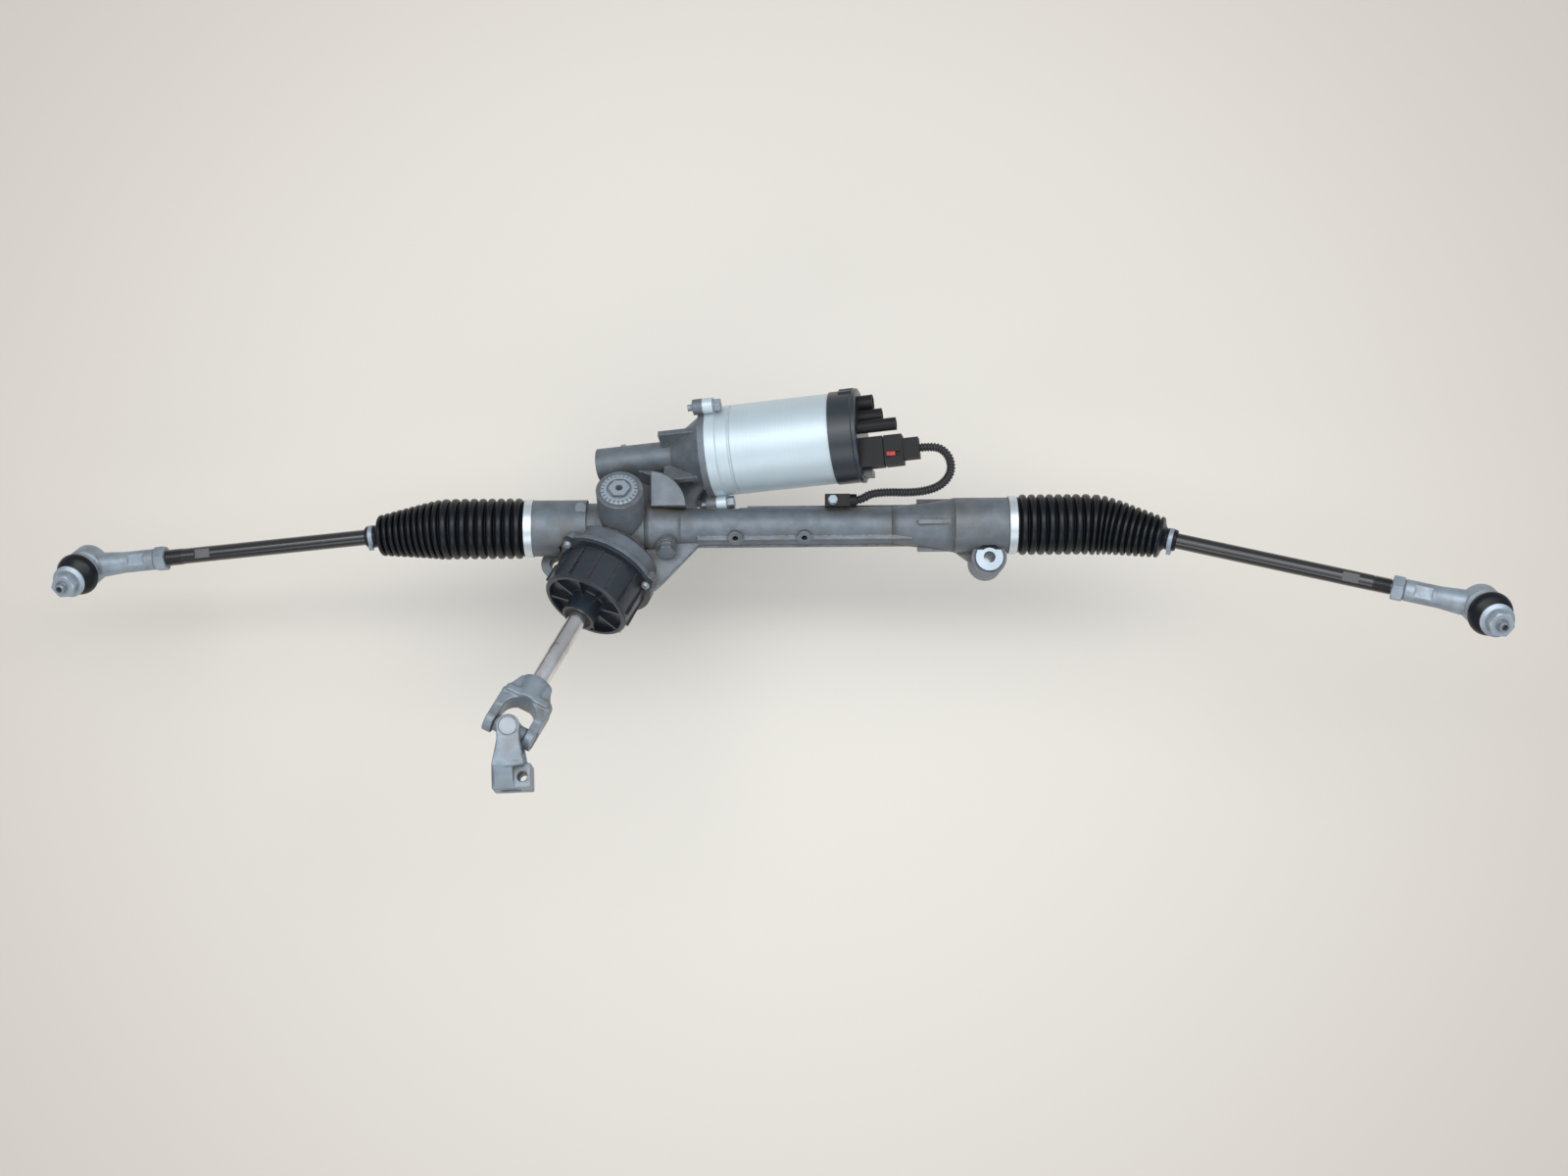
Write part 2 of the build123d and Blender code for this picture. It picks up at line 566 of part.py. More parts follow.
def make_rod_end(end):
    low = ROD_LENGTH - FORGING_START
    shank = turned(
        end.rod, (0, low), (FORGING_R - 1, low), (FORGING_R, low + 1.5), (FORGING_R, low + 30),
        (FORGING_R + 1.5, ROD_LENGTH - 18), (FORGING_R + 1.5, ROD_LENGTH - 4), (0, ROD_LENGTH - 4),
    )
    flats = block(end.rod, 2 * FORGING_R + 4, 2 * FORGING_R + 4, low + 9, low + 24)
    flats -= block(end.rod, 2 * FORGING_R - 3, 2 * FORGING_R + 6, low + 8, low + 25)
    house = turned(
        end.stud, (0, -15.5), (11, -15.5), (13.5, -13.5), (BALL_HOUSING_R, -9), (BALL_HOUSING_R, 7),
        (BALL_HOUSING_R - 2, 9), (BALL_HOUSING_R - 2, 12), (0, 12),
    )
    mouth = turned(end.stud, (0, 0), (8.6, 0), (8.6, 5), (13.6, 13), (0, 13))
    thread = rod(end.rod, ROD_R - 0.5, low - 1, low + 19)
    return joined(shank - flats, house) - end.stud * Sphere(OUTER_CAVITY_R) - mouth - thread


def make_ball_boot(end):
    return turned(
        end.stud, (13.9, 12), (15.6, 12), (18.6, 14.5), (19.6, 18), (19.0, 22), (15, 27), (9.6, 30.5), (9.2, 34.8),
        (STUD_R + 0.3, 34.8), (STUD_R + 0.3, 30), (13, 25.5), (16.8, 21.5), (17.2, 18), (16.4, 15.5), (13.9, 14),
    )


def make_ball_stud(end):
    thread_end = STUD_LENGTH - POINT_LENGTH - 1.8
    parts = [
        end.stud * Sphere(OUTER_BALL_R),
        rod(end.stud, 5.2, 5, 15),
        rod(end.stud, STUD_R, 14, 36),
        rod(end.stud, THREAD_R, 35, thread_end),
        cone(end.stud, THREAD_R, POINT_R, thread_end, thread_end + 0.8),
        rod(end.stud, POINT_R, thread_end + 0.8, STUD_LENGTH - 1),
        cone(end.stud, POINT_R, POINT_R - 0.8, STUD_LENGTH - 1, STUD_LENGTH),
    ]
    return joined(*parts) - hexagon(end.stud, 5.0, STUD_LENGTH - 6, STUD_LENGTH + 1)


def make_stud_nut(end):
    flange = turned(end.stud, (0, 36), (14.6, 36), (14.6, 37.5), (11.5, 39.5), (0, 39.5))
    body = hexagon(end.stud, 19.0, 38, 49.5)
    body &= turned(end.stud, (0, 36), (14, 36), (14, 47.5), (9.4, 49.5), (0, 49.5))
    return joined(flange, body) - rod(end.stud, THREAD_R, 35, 51)


def fold_points(start, count, pitch, first_r, last_r):
    """Crests and roots of the folds, with crest radii running from first_r to last_r."""
    points = []
    for fold in range(count):
        share = fold / max(1, count - 1)
        crest = first_r + (last_r - first_r) * share
        points.append((crest - BOOT_FOLD_DEPTH, start + fold * pitch))
        points.append((crest, start + (fold + 0.5) * pitch))
    return points


def make_boot(end):
    collar_low = END_OUTER + GAP
    start = END_OUTER + LIP_LENGTH + 1
    inner_pitch = (INNER_BALL_X - start) / INNER_FOLDS
    folds = fold_points(start, INNER_FOLDS, inner_pitch, BOOT_R, BOOT_R)
    straight = turned(
        end.axis, (0, collar_low), (BOOT_COLLAR_R - 0.2, collar_low), (BOOT_COLLAR_R - 0.2, start), *folds,
        (BOOT_R - BOOT_FOLD_DEPTH, INNER_BALL_X), (0, INNER_BALL_X),
    )
    outer_length = BOOT_LENGTH - INNER_BALL_X - 12
    tail = fold_points(0, OUTER_FOLDS, outer_length / OUTER_FOLDS, BOOT_R - 0.5, BOOT_R - 9)
    bent = turned(
        end.rod, (0, 0), *tail, (BOOT_NECK_R + 3, outer_length), (BOOT_NECK_R, outer_length + 3),
        (BOOT_NECK_R, outer_length + 12), (0, outer_length + 12),
    )
    bore_r = SOCKET_R + 1.2
    middle_r = BOOT_R - BOOT_FOLD_DEPTH
    hollow = [
        rod(end.axis, LIP_R + 0.02, collar_low - 1, END_OUTER + LIP_LENGTH),
        rod(end.axis, LIP_R - 1, END_OUTER + LIP_LENGTH - 1, start + 2),
        rod(end.axis, bore_r + 0.6, start, INNER_BALL_X),
        end.ball * Sphere(middle_r - 1.4),
        cone(end.rod, bore_r, ROD_R + 1.5, 4, outer_length),
        rod(end.rod, ROD_R + GAP, outer_length - 6, outer_length + 13),
    ]
    return joined(straight, bent, end.ball * Sphere(middle_r)) - joined(*hollow)


def make_band_clamps():
    clamps = []
    for end in (LEFT, RIGHT):
        middle = END_OUTER + LIP_LENGTH - 4.5
        band = ring(end.axis, BOOT_COLLAR_R + 0.7, BOOT_COLLAR_R - 0.2, middle - 3.5, middle + 3.5)
        buckle = block(end.axis * Rot(0, 0, 150), 3, 9, middle - 3.5, middle + 3.5, x=BOOT_COLLAR_R + 1.4)
        clamps.append(joined(band, buckle))
    return Compound(clamps)


def make_boot_clip(end):
    low = BOOT_LENGTH - INNER_BALL_X - 7
    band = ring(end.rod, BOOT_NECK_R + 0.9, BOOT_NECK_R, low, low + 4)
    ears = block(end.rod * Rot(0, 0, 120), 4.5, 5, low, low + 4, x=BOOT_NECK_R + 2.4)
    return joined(band, ears)


def make_mount_sleeve():
    wall_r = BOLT_HOLE_R + SLEEVE_WALL
    disc = rod(RIGHT_MOUNT, wall_r + BUSH_WALL, RIGHT_MOUNT_HEIGHT - 3, RIGHT_MOUNT_HEIGHT)
    disc -= block(RIGHT_MOUNT, 40, 20, RIGHT_MOUNT_HEIGHT - 4, RIGHT_MOUNT_HEIGHT + 1, y=16.5)
    sleeve = joined(rod(RIGHT_MOUNT, wall_r, 0, RIGHT_MOUNT_HEIGHT), disc)
    return sleeve - rod(RIGHT_MOUNT, BOLT_HOLE_R, -1, RIGHT_MOUNT_HEIGHT + 1)


def make_mount_bush():
    wall_r = BOLT_HOLE_R + SLEEVE_WALL
    return ring(RIGHT_MOUNT, wall_r + BUSH_WALL, wall_r, 2, RIGHT_MOUNT_HEIGHT - 3.2)


def make_test_plug():
    place, _, height = TEST_BOSS
    head = hexagon(place, 14.0, height + 1.5, height + 7)
    washer = rod(place, 8.4, height, height + 1.5)
    return joined(head, washer, rod(place, TEST_PLUG_R, height - 8, height + 2))


def make_yoke_pad():
    pad = rod(YOKE, YOKE_R, 4, TOWER_TOP - 22)
    return pad - rod(RACK, RACK_R + FIT, PINION_X - 20, PINION_X + 20)


def make_yoke_springs():
    low = TOWER_TOP - 22
    washers = [
        turned(YOKE, (6, low + 2.2), (12, low), (12, low + 1.6), (6, low + 3.8)),
        turned(YOKE, (6, low + 4), (12, low + 6.2), (12, low + 7.8), (6, low + 5.6)),
    ]
    return Compound(washers)


def make_yoke_plug():
    low = TOWER_TOP - 14
    plug = turned(
        YOKE, (0, low), (PLUG_R, low), (PLUG_R, TOWER_TOP + 0.8), (PLUG_R - 1, TOWER_TOP + 1.8), (11, TOWER_TOP + 1.8),
        (10.5, TOWER_TOP), (0, TOWER_TOP),
    )
    notches = [
        block(YOKE * Rot(0, 0, 15 * k), 3.2, 1.1, TOWER_TOP + 0.6, TOWER_TOP + 3, x=PLUG_R - 1.4) for k in range(24)
    ]
    drive = hexagon(YOKE, 16.0, TOWER_TOP - 1, TOWER_TOP + 3.2)
    return joined(plug, drive) - joined(*notches) - rod(YOKE, 3.2, TOWER_TOP - 6, TOWER_TOP + 4)


def make_pinion_bearings():
    inner = PINION_JOURNAL_R + FIT
    return Compound([
        ring(PINION, BEARING_R, inner, PINION_GEAR_HALF + 4, FLANGE_T),
        ring(PINION, BEARING_R - 2, inner, -PINION_GEAR_HALF - 14, -PINION_GEAR_HALF - 5),
    ])


def make_rack_bush():
    low = END_OUTER + LIP_LENGTH - SOCKET_BORE_DEPTH - 16
    return ring(RACK, RACK_R + 2.5, RACK_R + FIT, low, low + 15.5)


def make_worm_bearings():
    bore = WORM_PITCH_R - 1.25 * WORM_MODULE
    case = WORM_PITCH_R + WORM_MODULE + 0.8
    return Compound([
        ring(MOTOR, case, bore, WORM_CASE_START + 4, WORM_CASE_START + 12),
        ring(MOTOR, case, bore, 22, 30),
        ring(MOTOR, 12, bore, MOTOR_END_S - 14, MOTOR_END_S - 6),
    ])


def make_torque_sensor():
    return ring(PINION, 30, 12.6, FLANGE_T, FLANGE_T + 30) - ring(PINION, 31, 24, FLANGE_T + 8, FLANGE_T + 22)


def make_sensor_rotor():
    return ring(PINION, 12.0, INPUT_SHAFT_R, SHAFT_JOIN_T + 2, FLANGE_T + 27)


def make_input_seal():
    return turned(
        PINION, (12.5, COVER_COLLAR_T - 9), (12.5, COVER_COLLAR_T - 0.5), (INPUT_SHAFT_R + 0.3, COVER_COLLAR_T - 0.5),
        (INPUT_SHAFT_R + 0.3, COVER_COLLAR_T - 3), (10.6, COVER_COLLAR_T - 3.6), (10.6, COVER_COLLAR_T - 9),
    )


def make_dust_cover():
    flange_top = FLANGE_T + 3.5
    face = COVER_RIM_T - 6
    shell = turned(
        PINION, (COVER_R - COVER_WALL, FLANGE_T), (FLANGE_R, FLANGE_T), (FLANGE_R, flange_top), (COVER_R, flange_top + 1),
        (COVER_R - 0.8, COVER_RIM_T - 1.5), (COVER_R - 2.3, COVER_RIM_T), (COVER_R - 5, COVER_RIM_T),
        (COVER_R - 6, face), (COVER_COLLAR_R + 1, face), (COVER_COLLAR_R, face + 1), (COVER_COLLAR_R, COVER_COLLAR_T),
        (12.5, COVER_COLLAR_T), (12.5, face - 3), (COVER_R - COVER_WALL - 1.5, face - 3),
    )
    side_ribs = [
        block(polar(PINION, 20 + 360 / 14 * k, COVER_R + 0.2), 2.4, 1.8, flange_top, COVER_RIM_T - 4) for k in range(14)
    ]
    star_ribs = [
        block(polar(PINION, 8 + 45 * k, (COVER_R + COVER_COLLAR_R) / 2 - 2.6), 21, 2.2, face - 1, COVER_RIM_T - 1)
        for k in range(8)
    ]
    lugs = [rod(polar(PINION, angle, COVER_SCREW_RADIUS), 6, FLANGE_T, flange_top) for angle in COVER_SCREW_ANGLES]
    holes = [rod(polar(PINION, angle, COVER_SCREW_RADIUS), 2.3, FLANGE_T - 1, 60) for angle in COVER_SCREW_ANGLES]
    pockets = [
        rod(polar(PINION, angle, COVER_SCREW_RADIUS), 4.5, flange_top, 60) for angle in COVER_SCREW_ANGLES
    ]
    bolt_way = rod(LEFT_MOUNT, BOLT_HOLE_R, 0, COVER_RIM_T)
    return joined(shell, *side_ribs, *star_ribs, *lugs) - joined(*holes) - joined(*pockets) - bolt_way


def make_cover_screws():
    screws = []
    top = FLANGE_T + 3.5
    for angle in COVER_SCREW_ANGLES:
        place = polar(PINION, angle, COVER_SCREW_RADIUS)
        head = turned(place, (0, top), (3.9, top), (3.9, top + 1.2), (2.9, top + 3.6), (0, top + 3.6))
        screws.append(joined(head, rod(place, 2.0, FLANGE_T - 10, top + 1)))
    return Compound(screws)


def make_wheel_cover():
    high = WHEEL_T - WHEEL_WIDTH / 2 - 6
    low = high - LID_THICK
    plate = rod(PINION, DRUM_R + DRUM_WALL, low, high)
    dome = turned(PINION, (0, low - 4.5), (13, low - 4.5), (16, low + 0.5), (0, low + 0.5))
    ribs = [block(PINION * Rot(0, 0, 30 + 60 * k), 24, 3, low - 2.5, low + 0.5, x=25) for k in range(6)]
    lugs = [rod(lid_place(angle), 5.5, low, high) for angle in LID_SCREW_ANGLES]
    holes = [rod(lid_place(angle), 2.3, low - 1, high + 1) for angle in LID_SCREW_ANGLES]
    spigot = ring(PINION, DRUM_R - 0.1, DRUM_R - 3, high - 1, high + 1.5)
    room = [
        rod(MOTOR, WORM_CASE_R + 0.4, WORM_CASE_START - 1, 45),
        cone(MOTOR, WORM_CASE_R + 1.6, MOTOR_R - 3, 28, MOTOR_FACE_S - 5),
        rod(MOTOR, MOTOR_R - 8, 19.5, MOTOR_FACE_S - 5),
        rod(MOTOR, MOTOR_R + 2, MOTOR_FACE_S - 7, MOTOR_FACE_S + 20),
    ]
    return joined(plate, dome, spigot, *ribs, *lugs) - joined(*holes) - joined(*room)


def make_wheel_cover_screws():
    high = WHEEL_T - WHEEL_WIDTH / 2 - 6
    low = high - LID_THICK
    screws = [
        joined(hexagon(lid_place(angle), 8.0, low - 4, low), rod(lid_place(angle), 2.0, low - 1, high + 6))
        for angle in LID_SCREW_ANGLES
    ]
    return Compound(screws)


def make_motor_housing():
    body = turned(
        MOTOR, (MOTOR_R - 4, MOTOR_FACE_S), (MOTOR_R + 1, MOTOR_FACE_S), (MOTOR_R + 1, MOTOR_FACE_S + 9),
        (MOTOR_R, MOTOR_FACE_S + 10), (MOTOR_R, MOTOR_FACE_S + 20), (MOTOR_R - 0.8, MOTOR_FACE_S + 20.6),
        (MOTOR_R - 0.8, MOTOR_FACE_S + 22), (MOTOR_R, MOTOR_FACE_S + 22.6), (MOTOR_R, MOTOR_END_S),
        (6.5, MOTOR_END_S), (6.5, MOTOR_END_S - 5), (12, MOTOR_END_S - 5), (12, MOTOR_END_S - 14),
        (MOTOR_R - 4, MOTOR_END_S - 12),
    )
    lugs = motor_lugs(MOTOR_FACE_S, MOTOR_FACE_S + 9)
    holes = [rod(lug_place(angle), 3.2, MOTOR_FACE_S - 1, MOTOR_FACE_S + 10) for angle in MOTOR_LUG_ANGLES]
    return joined(body, *lugs) - joined(*holes)


def make_motor_bolts():
    bolts = []
    for angle in MOTOR_LUG_ANGLES:
        place = lug_place(angle)
        top = MOTOR_FACE_S + 9
        bolts.append(joined(
            hexagon(place, 10.0, top + 1.2, top + 6.5), rod(place, 5.6, top, top + 1.3),
            rod(place, 3.0, MOTOR_FACE_S - 14, top + 1),
        ))
    return Compound(bolts)


def make_stator_core():
    core = ring(MOTOR, MOTOR_R - 4, 24, MOTOR_FACE_S + 22, MOTOR_END_S - 20)
    slots = [
        block(MOTOR * Rot(0, 0, 30 * k), 8, 5, MOTOR_FACE_S + 21, MOTOR_END_S - 19, x=29) for k in range(12)
    ]
    return core - joined(*slots)


def make_motor_windings():
    return Compound([
        ring(MOTOR, 33, 25, MOTOR_FACE_S + 14, MOTOR_FACE_S + 22),
        ring(MOTOR, 33, 25, MOTOR_END_S - 20, MOTOR_END_S - 14.5),
    ])


def make_ecu_cap():
    face = ECU_END_S - 4
    shell = turned(
        CAP, (MOTOR_R - 3, MOTOR_END_S), (MOTOR_R + 1.2, MOTOR_END_S), (MOTOR_R + 1.2, ECU_END_S - 9),
        (MOTOR_R + 2, ECU_END_S - 8), (MOTOR_R + 2, face - 1), (MOTOR_R, face), (0, face), (0, face - 3),
        (MOTOR_R - 3, face - 3),
    )
    posts = [rod(polar(CAP, 45 + 90 * k, 28), 3, MOTOR_END_S + 7, face - 1) for k in range(4)]
    ribs = [block(polar(CAP, 12 * k - 30, MOTOR_R + 1.6), 2.2, 3, ECU_END_S - 20, ECU_END_S - 8) for k in range(6)]
    edge = block(CAP, 5.5, 16, face - 0.5, ECU_END_S + 4, x=-36, y=6)
    return joined(shell, *posts, *ribs, edge)


def make_ecu_board():
    return rod(CAP, MOTOR_R - 5, MOTOR_END_S + 5, MOTOR_END_S + 7) - rod(CAP, 7, MOTOR_END_S + 4, MOTOR_END_S + 8)


def make_ecu_sockets():
    face = ECU_END_S - 4
    power = ring(CAP * Pos(26, 10, 0), 7.4, 5.0, face, face + 13)
    power = joined(power, rod(CAP * Pos(26, 10, 0), 5.0, face, face + 3))
    supply = ring(CAP * Pos(12, 17, 0), 6.8, 4.6, face, face + 21)
    supply = joined(supply, rod(CAP * Pos(12, 17, 0), 4.6, face, face + 3))
    signal = block(CAP, 26, 15, face, face + 20, x=PLUG_X, y=PLUG_Y)
    signal -= block(CAP, 22, 11, face + 3, face + 21, x=PLUG_X, y=PLUG_Y)
    extra = ring(CAP * Pos(1, 30, 0), 5.6, 3.6, face, face + 34)
    extra = joined(extra, rod(CAP * Pos(1, 30, 0), 3.6, face, face + 18))
    return Compound([power, supply, signal, extra])


def make_sensor_plug():
    low = ECU_END_S + 17
    nose = block(CAP, 21.4, 10.4, low - 12, low, x=PLUG_X, y=PLUG_Y)
    body = block(CAP, 26, 15, low, low + 16, x=PLUG_X, y=PLUG_Y)
    rear = block(CAP, 18, 12, low + 15, low + 30, x=PLUG_X, y=PLUG_Y)
    slot = block(CAP, 4.0, 6, low + 2, low + 14, x=PLUG_X - 4, y=PLUG_Y + 9)
    return joined(nose, body, rear) - slot


def make_plug_lock_tab():
    low = ECU_END_S + 17
    tab = block(CAP, 3.4, 2.2, low + 2.3, low + 9.5, x=PLUG_X - 4, y=PLUG_Y + 7.4)
    return joined(tab, block(CAP, 3.4, 3.0, low + 2.3, low + 4.5, x=PLUG_X - 4, y=PLUG_Y + 8.2))


def lead_points():
    start = CAP * Pos(PLUG_X, PLUG_Y, ECU_END_S + 47)
    first = CAP * Pos(PLUG_X, PLUG_Y, ECU_END_S + 56)
    return [start.position, first.position] + [Vector(*point) for point in LEAD_ROUTE]


def lead_radii(points):
    radii = []
    for before, here, after in zip(points, points[1:], points[2:]):
        turn = (here - before).get_angle(after - here)
        run = min((here - before).length, (after - here).length)
        radii.append(0.45 * run / tan(radians(turn) / 2))
    return radii


def make_sensor_lead():
    points = lead_points()
    radii = lead_radii(points)
    print("lead radii", [round(radius, 1) for radius in radii])
    path = FilletPolyline(*points, radius=radii)
    start = Plane(origin=path @ 0, z_dir=path % 0)
    lead = sweep(start * Circle(LEAD_R), path=path)
    print("lead length", round(path.length, 1), "volume over section", round(lead.volume / pi / LEAD_R**2, 1))
    return lead


def make_lead_connector():
    body = Pos(59, 51, CONNECTOR_Z) * Box(22, 11, 11, align=BASE)
    collar = pose((70, 51, CONNECTOR_Z + 5.5), (1, 0, 0), (0, 1, 0))
    return joined(body, rod(collar, LEAD_R + 1.9, -2, 6)) - rod(collar, LEAD_R + 0.5, 1.5, 7)


def make_connector_bolt():
    place = Pos(55, 51, CONNECTOR_Z + 11)
    return joined(hexagon(place, 7.0, 1, 4.5), rod(place, 4.4, 0, 1))


UPPER = pose(JOINT_CENTRE, PINION_DIR, UPPER_EARS)
UPPER_AXIS = pose(JOINT_CENTRE, UPPER_EARS, PINION_DIR)
LOWER_AXIS = pose(JOINT_CENTRE, LOWER_EARS, LOWER_DIR)
LOWER = pose(JOINT_CENTRE, LOWER_DIR, LOWER_EARS)


def fork(place, ears, base_near, base_far, base_r, sign):
    """Two rounded ears on the ears axis, joined to a round base; the base lies on the sign side of place's z."""
    thick = EAR_SPREAD - EAR_INNER
    parts = []
    for end in (-1, 1):
        low = EAR_INNER if end > 0 else -EAR_SPREAD
        parts.append(rod(ears, EAR_R, low, low + thick))
        arm_low, arm_high = sorted((0, sign * (base_near + 3)))
        parts.append(block(place, thick, 2 * EAR_R - 1, arm_low, arm_high, x=end * (EAR_INNER + thick / 2)))
    crown_low, crown_high = sorted((sign * base_near, sign * (base_near + 7)))
    crown = block(place, 2 * EAR_SPREAD, 2 * EAR_R + 4, crown_low, crown_high)
    crown &= rod(place, EAR_SPREAD, crown_low - 1, crown_high + 1)
    base_low, base_high = sorted((sign * (base_near + 1), sign * base_far))
    return joined(crown, rod(place, base_r, base_low, base_high), *parts)


def make_upper_yoke():
    yoke = fork(UPPER, UPPER_AXIS, 27, 50, UPPER_COLLAR_R, -1)
    return yoke - rod(UPPER, INPUT_SHAFT_R, -51, -EAR_SPREAD) - rod(UPPER_AXIS, CUP_R, -30, 30)


def make_lower_yoke():
    yoke = fork(LOWER, LOWER_AXIS, 27, LOWER_LENGTH, 14.5, 1)
    clamp = block(LOWER, 30, 33, 31, LOWER_LENGTH, y=-1.5)
    slit = block(LOWER, 3.0, 22, 29.5, LOWER_LENGTH + 1, y=-15)
    bolt = pose((LOWER * Pos(0, -10.5, 42)).position, LOWER_EARS, LOWER_DIR)
    yoke = joined(yoke, clamp) - rod(LOWER, LOWER_BORE_R, 20, LOWER_LENGTH + 1) - slit
    return yoke - rod(bolt, PINCH_HOLE_R, -20, 20) - rod(LOWER_AXIS, CUP_R, -30, 30)


def make_cups(ears):
    cups = []
    for end in (-1, 1):
        low = min(end * EAR_INNER, end * (EAR_SPREAD - 1))
        high = max(end * EAR_INNER, end * (EAR_SPREAD - 1))
        tip_low, tip_high = sorted((end * EAR_INNER, end * (EAR_SPREAD - 3)))
        cups.append(rod(ears, CUP_R, low, high) - rod(ears, TRUNNION_R + FIT, tip_low - 0.5, tip_high + 0.5))
    return Compound(cups)


def make_joint_cross():
    reach = EAR_SPREAD - 3.5
    arms = [rod(UPPER_AXIS, TRUNNION_R, -reach, reach), rod(LOWER_AXIS, TRUNNION_R, -reach, reach)]
    bosses = [rod(UPPER_AXIS, 7, -EAR_INNER + 1, EAR_INNER - 1), rod(LOWER_AXIS, 7, -EAR_INNER + 1, EAR_INNER - 1)]
    return joined(*arms, *bosses)


PARTS = {
    "main_housing": make_main_housing,
    "wheel_cover": make_wheel_cover,
    "wheel_cover_screws": make_wheel_cover_screws,
    "yoke_plug": make_yoke_plug,
    "yoke_springs": make_yoke_springs,
    "yoke_pad": make_yoke_pad,
    "dust_cover": make_dust_cover,
    "cover_screws": make_cover_screws,
    "input_seal": make_input_seal,
    "torque_sensor": make_torque_sensor,
    "pinion_bearings": make_pinion_bearings,
    "rack_bush": make_rack_bush,
    "mount_sleeve": make_mount_sleeve,
    "mount_bush": make_mount_bush,
    "test_plug": make_test_plug,
    "motor_housing": make_motor_housing,
    "motor_bolts": make_motor_bolts,
    "stator_core": make_stator_core,
    "motor_windings": make_motor_windings,
    "ecu_cap": make_ecu_cap,
    "ecu_board": make_ecu_board,
    "ecu_sockets": make_ecu_sockets,
    "worm_bearings": make_worm_bearings,
    "sensor_plug": make_sensor_plug,
    "sensor_lead": make_sensor_lead,
    "lead_connector": make_lead_connector,
    "connector_bolt": make_connector_bolt,
    "band_clamps": make_band_clamps,
    "rack_bar": make_rack_bar,
    "pinion_shaft": make_pinion_shaft,
    "input_shaft": make_input_shaft,
    "torsion_bar": make_torsion_bar,
    "worm_wheel": make_worm_wheel,
    "sensor_rotor": make_sensor_rotor,
    "upper_yoke": make_upper_yoke,
    "upper_bearing_cups": lambda: make_cups(UPPER_AXIS),
    "worm_shaft": make_worm_shaft,
    "motor_rotor": make_motor_rotor,
    "joint_cross": make_joint_cross,
    "lower_yoke": make_lower_yoke,
    "lower_bearing_cups": lambda: make_cups(LOWER_AXIS),
    "plug_lock_tab": make_plug_lock_tab,
}
PARTS_OF_EACH_SIDE = {
    "boot": make_boot,
    "inner_socket": make_inner_socket,
    "tie_rod": make_tie_rod,
    "boot_clip": make_boot_clip,
    "jam_nut": make_jam_nut,
    "rod_end": make_rod_end,
    "ball_boot": make_ball_boot,
    "ball_stud": make_ball_stud,
    "stud_nut": make_stud_nut,
}


def main():
    os.makedirs("parts", exist_ok=True)
    for name, make in PARTS.items():
        export_step(make(), f"parts/{name}.step")
    for name, make in PARTS_OF_EACH_SIDE.items():
        export_step(make(LEFT), f"parts/{name}_left.step")
        export_step(make(RIGHT), f"parts/{name}_right.step")


main()
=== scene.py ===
# %% [markdown]
# A steering rack, dressed for a photograph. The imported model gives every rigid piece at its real
# size, so this script adds what is soft, what is threaded, a few forms of the castings, and the
# finish of each surface. All lengths are in metres.

# %% Load the frame
import json
from math import cos, pi, radians, sin

